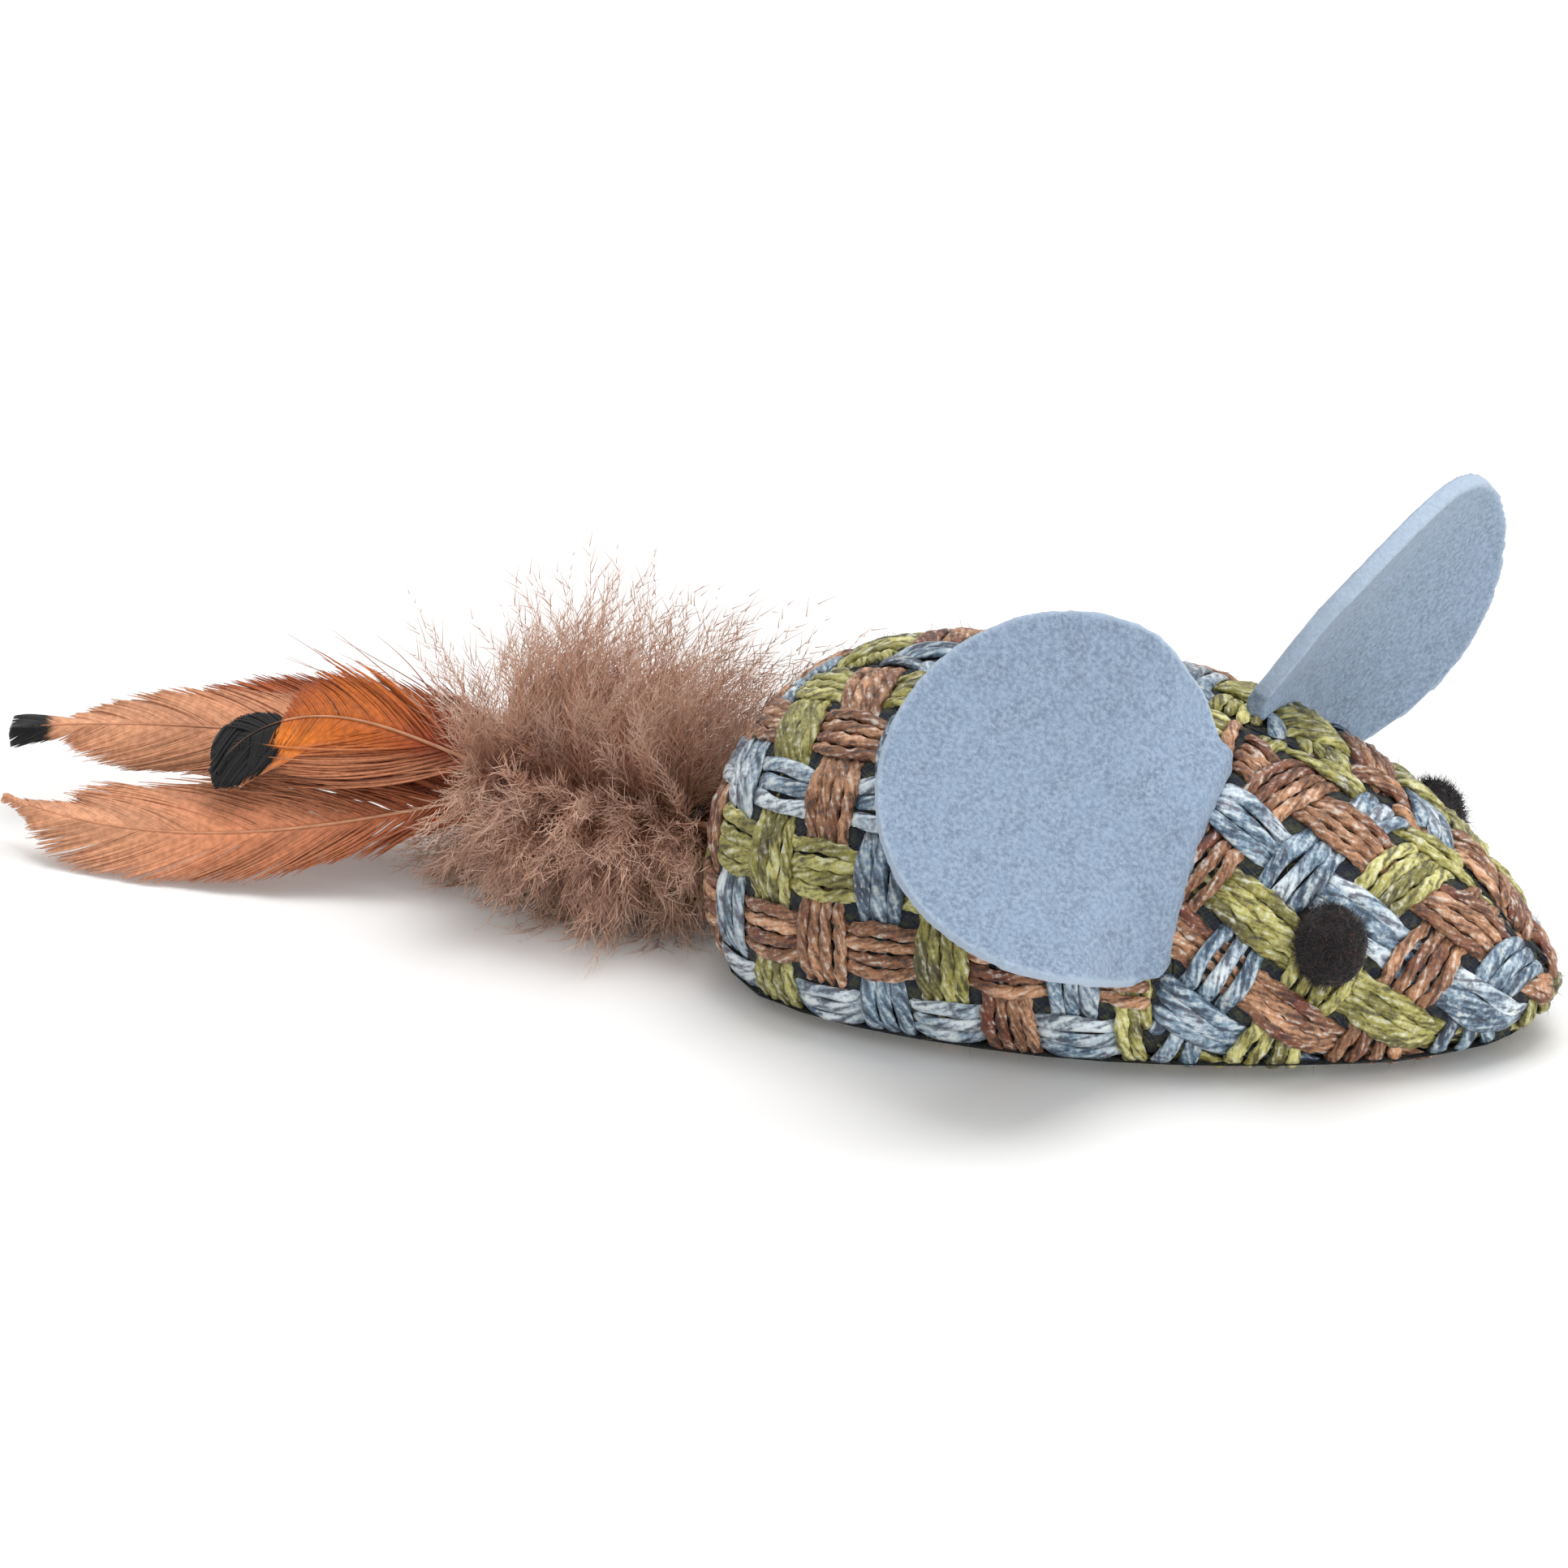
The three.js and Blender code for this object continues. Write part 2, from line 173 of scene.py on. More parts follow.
class Finish:
    """A material with one Principled shader. Constants sit on the shader's own sockets."""

    def __init__(self, name, **constants):
        self.material = bpy.data.materials.new(name)
        self.material.use_nodes = True
        self.tree = self.material.node_tree
        self.shader = self.tree.nodes["Principled BSDF"]
        for socket, value in constants.items():
            self.feed(socket.replace("_", " "), value)

    def put(self, socket, value):
        if isinstance(value, Wire):
            self.tree.links.new(value.socket, socket)
        elif socket.type == "RGBA" and len(value) == 3:
            socket.default_value = (*value, 1.0)
        else:
            socket.default_value = value

    def node(self, kind, settings=None, inputs=None, out=0):
        made = self.tree.nodes.new(kind)
        for key, value in (settings or {}).items():
            setattr(made, key, value)
        for key, value in (inputs or {}).items():
            self.put(made.inputs[key], value)
        return Wire(self, made.outputs[out])

    def feed(self, socket, value):
        self.put(self.shader.inputs[socket], value)

    def place(self):
        return self.node("ShaderNodeTexCoord", out="Object")

    def attribute(self, name, out="Color"):
        return self.node("ShaderNodeAttribute", {"attribute_name": name}, out=out)

    def parts(self, vector):
        split = self.tree.nodes.new("ShaderNodeSeparateXYZ")
        self.put(split.inputs[0], vector)
        return [Wire(self, socket) for socket in split.outputs]

    def noise(self, scale, detail=3.0, vector=None, **inputs):
        vector = vector or self.place()
        inputs = {"Vector": vector, "Scale": scale, "Detail": detail, **inputs}
        return self.node("ShaderNodeTexNoise", inputs=inputs)

    def mix(self, share, first, second, kind="MIX"):
        settings = {"data_type": "RGBA", "blend_type": kind}
        return self.node("ShaderNodeMix", settings, {0: share, 6: first, 7: second}, out=2)

    def bump(self, height, strength, distance):
        inputs = {"Height": height, "Strength": strength, "Distance": distance}
        self.feed("Normal", self.node("ShaderNodeBump", inputs=inputs))

    def plain_weave(self, pitch):
        """Height of a cloth whose threads cross at that pitch, in millimetres."""
        x, y, z = self.parts(self.place())
        turn = 2 * math.pi / (pitch * MM)
        return (x * turn).math("SINE") * ((y + z) * turn).math("SINE")

    def direct_rays(self):
        """1 on rays from the camera, off a mirror or through glass, and 0 on the others."""
        rays = self.tree.nodes.new("ShaderNodeLightPath")
        camera_ray, glossy_ray, clear_ray = (
            Wire(self, rays.outputs[f"Is {kind} Ray"]) for kind in ("Camera", "Glossy", "Transmission"))
        return camera_ray.math("MAXIMUM", glossy_ray).math("MAXIMUM", clear_ray)


def shade(red, green, blue):
    """A colour as a picture gives it, 0 to 255, as the shader wants it."""
    def linear(value):
        # The dark end of the curve is straight: the value over 255 times 12.92.
        return ((value / 255 + 0.055) / 1.055) ** 2.4 if value > 10 else value / 3295

    return tuple(linear(value) for value in (red, green, blue))


# %% [markdown]
# ## Working by hand, in code
# Operators act on whatever is selected, so each step first selects one piece. `settle` puts a
# piece's place into its mesh, and `dress` gives it its finish and its body, and hides the CAD
# parts that it replaces.


# %% Selecting, applying, dressing
def only(piece):
    bpy.ops.object.select_all(action="DESELECT")
    piece.hide_set(False)
    piece.select_set(True)
    bpy.context.view_layer.objects.active = piece
    return piece


def modify(piece, kind, **settings):
    """Adds one modifier and applies it."""
    only(piece)
    modifier = piece.modifiers.new(kind.title(), kind)
    for key, value in settings.items():
        setattr(modifier, key, value)
    bpy.ops.object.modifier_apply(modifier=modifier.name)


def points_of(piece):
    co = np.empty(len(piece.data.vertices) * 3)
    piece.data.vertices.foreach_get("co", co)
    return co.reshape(-1, 3)


def move_points(piece, points):
    piece.data.vertices.foreach_set("co", np.ascontiguousarray(points, np.float32).ravel())
    piece.data.update()


def settle(piece):
    only(piece)
    bpy.ops.object.transform_apply(location=True, rotation=True, scale=True)
    bpy.ops.object.shade_smooth()


def dress(piece, name, finish, body, replaces=()):
    piece.name = piece.data.name = name
    piece.data.materials.clear()
    piece.data.materials.append(finish.material)
    if body:
        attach(piece, body)
    if replaces:
        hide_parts(*replaces)
    faces = len(piece.data.polygons)
    print(f"{name}: {faces} faces")
    return piece


def copy_of(node):
    """A copy of a CAD node, with its loose triangles merged."""
    piece = bpy.data.objects.new(node, frame["nodes"][node].data.copy())
    bpy.context.scene.collection.objects.link(piece)
    only(piece)
    bpy.ops.object.mode_set(mode="EDIT")
    bpy.ops.mesh.select_all(action="SELECT")
    bpy.ops.mesh.remove_doubles(threshold=0.01 * MM)
    bpy.ops.object.mode_set(mode="OBJECT")
    return piece


# %% [markdown]
# ## Strands
# Yarns, barbs, down and thread are all strands: a line that carries a ring of points, wide and
# flat or round, tapering to its ends. Thousands of them are too many to draw by hand, so one
# function skins a whole batch at once and closes each end. Every point keeps a colour, `tint`,
# and where it lies on its strand, `lay`, for the materials.


# %% Strand builder
def unit(vectors):
    return vectors / np.maximum(np.linalg.norm(vectors, axis=-1, keepdims=True), 1e-9)


class Strands:
    """Collects strands in millimetres and makes one mesh of them."""

    def __init__(self, sides):
        self.sides = sides
        self.points, self.quads, self.ends = [], [], []
        self.tints, self.lays = [], []
        self.count = 0

    def add(self, lines, normals, wide, thick, tint, gloss=0.0, lobes=None):
        """lines holds (strands, stations, 3). The rest has that shape, or one that spreads to it.
        lobes says how many plies show round the ring, how deep, and their turns a millimetre."""
        k, n, _ = lines.shape
        along = unit(np.gradient(lines, axis=1))
        side = unit(np.cross(np.broadcast_to(normals, lines.shape), along))
        top = np.cross(along, side)
        turn = np.arange(self.sides) / self.sides * 2 * math.pi - math.pi / 2
        wide, thick = (np.broadcast_to(v, (k, n))[:, :, None, None] for v in (wide, thick))
        step = np.linalg.norm(np.diff(lines, axis=1), axis=2)
        run = np.concatenate([np.zeros((k, 1)), np.cumsum(step, axis=1)], axis=1)
        run += rng.uniform(0, 500, (k, 1))  # so that no two strands have the same pattern
        if lobes:
            plies, depth, twist = lobes
            swell_of = 1 + depth * np.cos(plies * (turn - 2 * math.pi * twist * run[:, :, None]))
            wide, thick = wide * swell_of[..., None], thick * swell_of[..., None]
        rings = (
            lines[:, :, None]
            + wide * np.cos(turn)[:, None] * side[:, :, None]
            + thick * np.sin(turn)[:, None] * top[:, :, None]
        )
        index = self.count + np.arange(k * n * self.sides).reshape(k, n, self.sides)
        after = np.roll(index, -1, axis=2)
        quads = np.stack([index[:, :-1], after[:, :-1], after[:, 1:], index[:, 1:]], -1)
        self.quads.append(quads.reshape(-1, 4))
        self.ends.append(index[:, 0, ::-1])
        self.ends.append(index[:, -1])
        self.points.append(rings.reshape(-1, 3))
        tint = np.broadcast_to(np.asarray(tint, float), (k, n, 3))
        self.tints.append(np.repeat(tint.reshape(-1, 3), self.sides, axis=0))
        lay = np.empty((k, n, self.sides, 3))
        lay[..., 0] = run[:, :, None]
        lay[..., 1] = np.arange(self.sides) / self.sides
        lay[..., 2] = gloss
        self.lays.append(lay.reshape(-1, 3))
        self.count += k * n * self.sides

    def make(self, name):
        points = np.concatenate(self.points) * MM
        quads, ends = np.concatenate(self.quads), np.concatenate(self.ends)
        corners = np.concatenate([quads.ravel(), ends.ravel()])
        sizes = np.concatenate([np.full(len(quads), 4), np.full(len(ends), self.sides)])
        mesh = bpy.data.meshes.new(name)
        mesh.vertices.add(len(points))
        mesh.vertices.foreach_set("co", points.astype(np.float32).ravel())
        mesh.loops.add(len(corners))
        mesh.loops.foreach_set("vertex_index", corners.astype(np.int32))
        mesh.polygons.add(len(sizes))
        starts = np.concatenate([[0], np.cumsum(sizes)[:-1]])
        mesh.polygons.foreach_set("loop_start", starts.astype(np.int32))
        mesh.polygons.foreach_set("use_smooth", np.ones(len(sizes), bool))
        mesh.update(calc_edges=True)
        tints = np.concatenate(self.tints)
        colours = np.concatenate([np.clip(tints, 0, 1), np.ones((len(tints), 1))], axis=1)
        mesh.attributes.new("tint", "FLOAT_COLOR", "POINT").data.foreach_set(
            "color", colours.astype(np.float32).ravel())
        mesh.attributes.new("lay", "FLOAT_VECTOR", "POINT").data.foreach_set(
            "vector", np.concatenate(self.lays).astype(np.float32).ravel())
        piece = bpy.data.objects.new(name, mesh)
        bpy.context.scene.collection.objects.link(piece)
        return piece


# %% [markdown]
# ## The body's form
# The CAD body swells from a blunt rear to its widest section and tapers to the nose. The same
# formula is repeated here, because the cloth is laid over it by arc length: `s` runs along the
# body from the seam behind the head, and `t` runs up the section from its widest level. A
# yarn that keeps `s` or `t` then keeps its distance to its neighbours, as in real cloth.

# %% Body formula
body_length, body_width, body_height = 75.0, 44.4, 28.5
rear_level, nose_level, belly_depth = 8.0, 5.0, 12.9
widest_share = 0.4
rear_power, crown_power, belly_power = 2.8, 2.25, 2.4  # of the rounding, where 2 is an ellipse
side_form, crown_form = (1.55, 0.56), (2.6, 0.85)  # taper and bluntness towards the nose
neck_x = 9.2
rear_x = -body_length / 2


def swell(u, taper, bluntness):
    u = np.clip(u, 0, 1)
    rear = (1 - np.clip(1 - u / widest_share, 0, 1) ** rear_power) ** (1 / rear_power)
    share = np.clip((u - widest_share) / (1 - widest_share), 0, 1)
    return np.where(u < widest_share, rear, (1 - share ** taper) ** bluntness)


def smooth(v):
    v = np.clip(v, 0, 1)
    return v * v * (3 - 2 * v)


def half_sizes(u, inset=0.0):
    """Half width, height above the widest level, depth below it, and that level."""
    side, crown = swell(u, *side_form), swell(u, *crown_form)
    to_nose = np.clip((u - widest_share) / (1 - widest_share), 0, 1)
    level = rear_level + to_nose * (nose_level - rear_level)
    width = (body_width / 2 - inset) * side
    return width, (body_height - rear_level - inset) * crown, (belly_depth - inset) * side, level


def body_point(u, turn, inset=0.0):
    across, up = np.cos(turn), np.sin(turn)
    power = np.where(up > 0, 2 / crown_power, 2 / belly_power)
    width, crown, belly, level = half_sizes(u, inset)
    x = rear_x + inset + u * (body_length - 2 * inset)
    y = width * np.sign(across) * np.abs(across) ** power
    z = level + np.where(up > 0, crown, belly) * np.sign(up) * np.abs(up) ** power
    return np.stack(np.broadcast_arrays(x, y, z), -1)


def excess(points):
    """1 on the form, less inside it and more outside."""
    u = np.clip((points[..., 0] - rear_x) / body_length, 1e-4, 1 - 1e-4)
    width, crown, belly, level = half_sizes(u)
    rise = points[..., 2] - level
    power, deep = np.where(rise > 0, crown_power, belly_power), np.where(rise > 0, crown, belly)
    return np.abs(points[..., 1] / width) ** power + np.abs(rise / deep) ** power


def body_normal(points):
    """Outward, from the slope of the form's own equation."""
    step = 0.02 * np.eye(3)
    slope = np.stack([excess(points + d) - excess(points - d) for d in step], -1)
    return unit(slope)


# %% Arc lengths over the form
quarter = np.linspace(0, math.pi / 2, 200)
section_u = np.concatenate([
    widest_share * (1 - np.cos(quarter[:-1])),
    widest_share + (1 - widest_share) * np.sin(quarter),
])
section_turn = np.linspace(-math.pi / 2, math.pi / 2, 241)
level_row = len(section_turn) // 2
grid = body_point(section_u[:, None], section_turn[None, :])
steps_along = np.linalg.norm(np.diff(grid[:, level_row], axis=0), axis=1)
s_of_u = np.concatenate([[0], np.cumsum(steps_along)])
s_of_u -= np.interp((neck_x - rear_x) / body_length, section_u, s_of_u)
t_of_turn = np.concatenate([
    np.zeros((len(section_u), 1)),
    np.cumsum(np.linalg.norm(np.diff(grid, axis=1), axis=2), axis=1),
], axis=1)
t_of_turn -= t_of_turn[:, level_row:level_row + 1]


def skin(s, t):
    """Points of the left side at cloth places s and t, and whether each place exists."""
    at = np.interp(s, s_of_u, np.arange(len(s_of_u)))
    low = np.minimum(at.astype(int), len(s_of_u) - 2)
    share = (at - low)[:, None]
    rows = t_of_turn[low] * (1 - share) + t_of_turn[low + 1] * share
    turn = np.array([np.interp(value, row, section_turn) for value, row in zip(t, rows)])
    exists = (s > s_of_u[0]) & (s < s_of_u[-1]) & (t > rows[:, 0]) & (t < rows[:, -1])
    return body_point(np.interp(at, np.arange(len(section_u)), section_u), turn), exists


print("body: from", round(s_of_u[0], 1), "to", round(s_of_u[-1], 1), "mm along the cloth")

# %% [markdown]
# ## The stuffed body
# Stuffing presses the cloth out between its seams, and the seams hold it in. Blender's cloth
# solver does this with a pressure: a plain cover of the body's form is remeshed, its seams
# are pinned, and it is blown up for twenty frames. The solver's defaults suit furniture, so
# the cover is simulated at several times its size. Only the relief is kept, for the yarns.

# %% Blow up a padded shape
simulation_scale = 8.0
simulation_frames = 20


def puff(piece, voxel, held, pressure, cap):
    """Remeshes a closed piece, and swells it by cloth pressure, at most by cap."""
    move_points(piece, points_of(piece) * simulation_scale)
    modify(piece, "REMESH", mode="VOXEL", voxel_size=voxel * simulation_scale * MM)
    rest = points_of(piece)
    group = piece.vertex_groups.new(name="held")
    pins = np.flatnonzero(held(rest / simulation_scale / MM))
    group.add([int(i) for i in pins], 1.0, "REPLACE")
    only(piece)
    cloth = piece.modifiers.new("Cloth", "CLOTH")
    cloth.settings.vertex_group_mass = "held"
    cloth.settings.use_pressure = True
    cloth.settings.uniform_pressure_force = pressure
    cloth.settings.effector_weights.gravity = 0
    for number in range(1, simulation_frames + 1):
        bpy.context.scene.frame_set(number)
    blown = np.empty(len(rest) * 3)
    seen = piece.evaluated_get(bpy.context.evaluated_depsgraph_get())
    seen.data.vertices.foreach_get("co", blown)
    piece.modifiers.clear()
    bpy.context.scene.frame_set(1)
    shift = (blown.reshape(-1, 3) - rest) / simulation_scale
    length = np.linalg.norm(shift, axis=1, keepdims=True)
    shift *= np.minimum(1, cap * MM / np.maximum(length, 1e-9))
    move_points(piece, rest / simulation_scale + shift)
    mean = length.mean() / MM
    print(f"{piece.name}: swelled by {mean:.2f} mm on average, {len(pins)} points held")


# %% The cover and its relief
cover_inset = 0.75
cover_floor = 0.4
seam_reach = 0.9  # how far from a seam's plane the cover is held
relief_range = (-0.9, 0.5)
bpy.ops.object.select_all(action="DESELECT")
bpy.ops.mesh.primitive_uv_sphere_add(segments=96, ring_count=64, radius=1)
cover = bpy.context.object
ball = points_of(cover)
cover_points = body_point((ball[:, 0] + 1) / 2, np.arctan2(ball[:, 2], ball[:, 1]), cover_inset)
cover_points[:, 2] = np.maximum(cover_points[:, 2], cover_floor)
move_points(cover, cover_points * MM)


def on_a_seam(p):
    """Along the back, round the neck and round the base."""
    back_seam = (np.abs(p[:, 1]) < seam_reach) & (p[:, 2] > 6)
    return back_seam | (np.abs(p[:, 0] - neck_x) < seam_reach) | (p[:, 2] < 1.5)


puff(cover, voxel=1.3, held=on_a_seam, pressure=4.0, cap=1.3)
cover_points = points_of(cover) / MM
cover_tree = BVHTree.FromPolygons(
    [Vector(p) for p in cover_points], [list(f.vertices) for f in cover.data.polygons])
bpy.data.objects.remove(cover)


def relief(points, normals):
    """How far the blown cover stands out of the form at each point, in millimetres."""
    found = [cover_tree.find_nearest(Vector(p))[0] for p in points]
    return np.clip(np.einsum("ij,ij->i", np.array(found) - points, normals), *relief_range)


# %% [markdown]
# ## The tweed
# The cloth is a basket weave: bundles of three or four bulky yarns run each way, and each
# bundle passes over one and under the next. Both sets repeat a shiny blue ribbon, an olive
# and a copper yarn, so the cells make a patchwork. Every yarn is modelled from seam to seam.
# It rises and dips by the weave's own rule, and dark ground shows where four cells meet.

# %% Yarns
# Each yarn's tones: its own colour, a light tone and a dark tone. The light tone is partly a painted
# highlight and the dark tone partly painted shade; both also vary the yarn's own colour.
blue_tones = [shade(118, 146, 168), shade(214, 226, 234), shade(54, 74, 98)]
olive_tones = [shade(154, 147, 68), shade(214, 208, 130), shade(90, 84, 36)]
copper_tones = [shade(140, 94, 62), shade(206, 152, 112), shade(110, 50, 26)]
# For each yarn: tones, number in a bundle, half width, half thickness, gloss, and its plies:
# how many, how deep the grooves between them, and their turns a millimetre.
ribbon = (blue_tones, 3, 0.74, 0.34, 1.0, (2, 0.1, 0.06))
olive = (olive_tones, 4, 0.6, 0.38, 0.5, (3, 0.17, 0.16))
copper = (copper_tones, 4, 0.56, 0.38, 0.4, (3, 0.17, 0.18))
column_order = [ribbon, olive, copper]
row_order = [copper, ribbon, olive]
yarn_step = 0.48
yarn_reach = 110  # each way, before the panel's edges cut it
yarn_middle = -0.22  # of a yarn's height over the form
yarn_swing = 0.42
climb_power = 1.7  # how fast it climbs from under to over
streak_length = 1.6
end_dip, end_dip_length = 0.35, 0.6  # into the seam
end_taper, end_taper_length = 0.6, 0.9


def wander(count, knots, size):
    """A smooth random walk of that many points, about zero."""
    stations = max(4, int(knots) + 2)
    places = np.linspace(0, stations - 1, count)
    return np.interp(places, np.arange(stations), rng.normal(0, size, stations))


def yarn_tint(tones, points):
    """Streaks along a yarn: its own colour, with painted highlight and painted shade."""
    base, light, dark = (np.array(tone) for tone in tones)
    length = len(points) * yarn_step
    streak = wander(len(points), length / streak_length, 0.45)[:, None] + rng.normal(0, 0.34)
    return base + np.clip(streak, 0, 1) * (light - base) + np.clip(-streak, 0, 1) * (dark - base)


def lay_yarn(strands, to_points, lattice, kind, bundle, offset, set_sign):
    """One yarn of a panel, cut where the panel ends. set_sign is 1 in a column, -1 in a row."""
    tones, _, wide, thick, gloss, lobes = kind
    start, column_way, row_way = (np.array(v, float) for v in lattice)
    way, aside = (column_way, row_way) if set_sign > 0 else (row_way, column_way)
    pitch = np.linalg.norm(way)
    run = np.arange(-yarn_reach, yarn_reach, yarn_step) / pitch
    phase = math.pi * (run + bundle)
    over = set_sign * np.tanh(climb_power * np.cos(phase)) / math.tanh(climb_power)
    gather = 0.82 + 0.18 * np.abs(np.cos(phase))
    drift = wander(len(run), 30, 0.012)
    place = start + run[:, None] * way + (bundle + offset * gather + drift)[:, None] * aside
    points, normals, inside = to_points(place)
    edges = np.flatnonzero(np.diff(np.concatenate([[0], inside.astype(int), [0]])))
    for first, last in zip(edges[::2], edges[1::2]):
        count = last - first
        if count < 5:
            continue
        part = slice(first, last)
        to_end = np.minimum(np.arange(count), np.arange(count)[::-1]) * yarn_step
        dip = end_dip * np.exp(-(to_end / end_dip_length) ** 2)
        height = yarn_middle + yarn_swing * over[part] - dip
        height = height + wander(count, count * yarn_step / 3, 0.05)
        size = 1 + wander(count, count * yarn_step / 2, 0.07)
        size *= np.clip(end_taper + to_end / end_taper_length, end_taper, 1)
        line = points[part] + height[:, None] * normals[part]
        fuzz.append(np.concatenate([line + thick * normals[part], normals[part]], axis=1)[::2])
        strands.add(line[None], normals[part][None], wide * size, thick * size,
                    yarn_tint(tones, line)[None], gloss, lobes)


fuzz = []  # where loose fibres may stand: points and normals


def weave(strands, to_points, lattice, bundles):
    for bundle in bundles:
        for set_sign, order in ((1, column_order), (-1, row_order)):
            kind = order[bundle % 3]
            half_spread = 0.28 if kind is ribbon else 0.33
            for offset in np.linspace(-1, 1, kind[1]) * half_spread:
                lay_yarn(strands, to_points, lattice, kind, bundle, offset, set_sign)


# %% [markdown]
# A panel ends at the seams: in the plane of the back, at the neck and at the base. The lattice
# of each panel says where cell (0, 0) lies and the two steps to its neighbours. The rear
# panels follow the body, and the head panels were cut with the weave turned about 50 degrees.

# %% Panels and their lattices
seam_gap = 0.04
neck_slant, neck_slant_level = 0.13, 19  # the seam leans back a little below that level
slot_place = np.array([rear_x, 0.0, rear_level])  # where the quills come out
slot_radius = 2.7
floor_clearance = 0.35
base_level, base_margin = 0.85, 1.4


def past_neck(points):
    """How far forward of the neck seam points lie."""
    return points[:, 0] - neck_x - neck_slant * (points[:, 2] - neck_slant_level)


def side_points(side, head):
    def to_points(place):
        points, exists = skin(place[:, 0], place[:, 1])
        normals = body_normal(points)
        off_slot = np.linalg.norm(points - slot_place, axis=1) > slot_radius
        forward = past_neck(points)
        part = forward > seam_gap if head else forward < -seam_gap
        clear = (points[:, 1] > seam_gap) & (points[:, 2] > floor_clearance)
        inside = exists & part & off_slot & clear
        height = np.zeros(len(points))
        if inside.any():
            height[inside] = relief(points[inside], normals[inside])
        points = points + height[:, None] * normals
        mirror = np.array([1, side, 1])
        return points * mirror, normals * mirror, inside
    return to_points


def base_points(place):
    points = np.column_stack([place[:, 0], place[:, 1], np.full(len(place), base_level)])
    u = np.clip((place[:, 0] - rear_x) / body_length, 0, 1)
    width, _, belly, level = half_sizes(u)
    down = np.clip(level / np.maximum(belly, 0.1), 0, 1)
    reach = width * np.clip(1 - down ** belly_power, 0, 1) ** (1 / belly_power)
    normals = np.tile([0.0, 0, -1], (len(points), 1))
    return points, normals, np.abs(place[:, 1]) < reach - base_margin


rear_lattice = ((-60.2, 19.3), (0.3, -6.5), (5.65, 0.3))
head_lattice = ((3.7, 17.8), (5.8, -4.4), (-2.6, -4.6))
panels = {
    "rear_panel_right": (side_points(-1, False), rear_lattice),
    "rear_panel_left": (side_points(1, False), ((-58.0, 21.0), (-0.3, -6.5), (5.65, -0.3))),
    "head_panel_right": (side_points(-1, True), head_lattice),
    "head_panel_left": (side_points(1, True), ((5.5, 15.0), (4.6, -4.6), (3.9, 4.0))),
    "base_panel": (base_points, ((0.0, 0.0), (0.0, -6.5), (5.65, 0.0))),
}

# %% [markdown]
# ## Cloth finishes
# Under the yarns lies a thin dark ground cloth. It is a copy of the CAD panel, drawn in a
# little, with a fine weave in its bump. The yarns take their colour from `tint`. Their twist
# is a slanted wave round and along each strand, and a fine noise gives them fibres. Along
# these fibres the colour is streaked with painted highlight and painted shade.

# %% Yarn and ground materials
ground = Finish("ground_cloth", Roughness=0.9)
ground.feed("Base Color", ground.mix(
    ground.noise(1400.0).between(0.4, 0.7), shade(26, 32, 46), shade(64, 66, 48)))
ground.bump(ground.plain_weave(0.55), 0.6, 0.15 * MM)

yarn = Finish("tweed_yarn", Sheen_Weight=0.1, Sheen_Roughness=0.5)
along, around, gloss = yarn.parts(yarn.attribute("lay", "Vector"))
helix = (around + along * 0.1) * 7
on_yarn = yarn.node("ShaderNodeCombineXYZ", inputs={0: along * 0.45, 1: helix})
streaks = yarn.noise(1.0, 3.0, on_yarn)
fibres = yarn.noise(2300.0, 4.0)
tint = yarn.attribute("tint")
painted_shade_tint = yarn.mix(1.0, tint, (0.2, 0.19, 0.22), "MULTIPLY")
painted_highlight_tint = yarn.mix(0.5, tint, (0.92, 0.95, 0.88))
# The light streaks are a painted highlight and the dark streaks painted shade, laid along
# the yarn's fibres. The ribbon is the glossy one, and its painted highlight and shade are stronger.
painted_shade_streaks = (streaks * 0.7 + fibres * 0.3 - gloss * 0.03).between(0.36, 0.52)
painted_highlight_streaks = (streaks * 0.6 + fibres * 0.4 + gloss * 0.035).between(0.53, 0.67)
yarn.feed("Base Color", yarn.mix(painted_highlight_streaks, yarn.mix(painted_shade_streaks, painted_shade_tint, tint), painted_highlight_tint))
yarn.feed("Roughness", 0.7 - gloss * 0.42)
yarn.bump(streaks + fibres * 0.7, 0.8, 0.2 * MM)

# %% Lay the cloth
ground_inset = 0.95
outer_from = 0.985  # of the form, where a panel's outer face begins
rear_inset, nose_inset = 0.9, 1.4
ground_floor = 1.25  # the base panel's ground lies over its yarns

for node, (to_points, lattice) in panels.items():
    strands = Strands(12)
    weave(strands, to_points, lattice, range(-16, 17))
    dress(strands.make(node), node + "_yarns", yarn, "mouse_body")
    cloth = copy_of(node)
    points = points_of(cloth) / MM
    if node == "base_panel":
        points[:, 2] = np.maximum(points[:, 2], ground_floor)
    else:
        outer = excess(points) > outer_from
        points[outer] -= ground_inset * body_normal(points[outer])
        points[:, 0] = np.clip(points[:, 0], rear_x + rear_inset, -rear_x - nose_inset)
    move_points(cloth, points * MM)
    dress(cloth, node + "_ground", ground, "mouse_body", [node])

# %% [markdown]
# Wool and slub yarns are hairy. A thin scatter of loose fibres stands on the floats, and shows
# most along the outline.

# %% Loose fibres on the tweed
def hairs(strands, roots, normals, length, radius, curl, tint, stations=4):
    """Short curled hairs that stand on a surface."""
    count = len(roots)
    lean = unit(normals + rng.normal(0, curl, (count, 3)))
    bend = rng.normal(0, curl, (count, 3))
    q = np.linspace(0, 1, stations)[None, :, None]
    long = length * rng.uniform(0.6, 1.2, (count, 1, 1))
    lines = roots[:, None] + long * (q * lean[:, None] + q ** 2 * bend[:, None] * 0.5)
    lines[..., 2] = np.maximum(lines[..., 2], 0.1)
    taper = radius * (1.05 - q[..., 0])
    strands.add(lines, np.array([0.3, 0.2, 0.9]), taper, taper, tint)


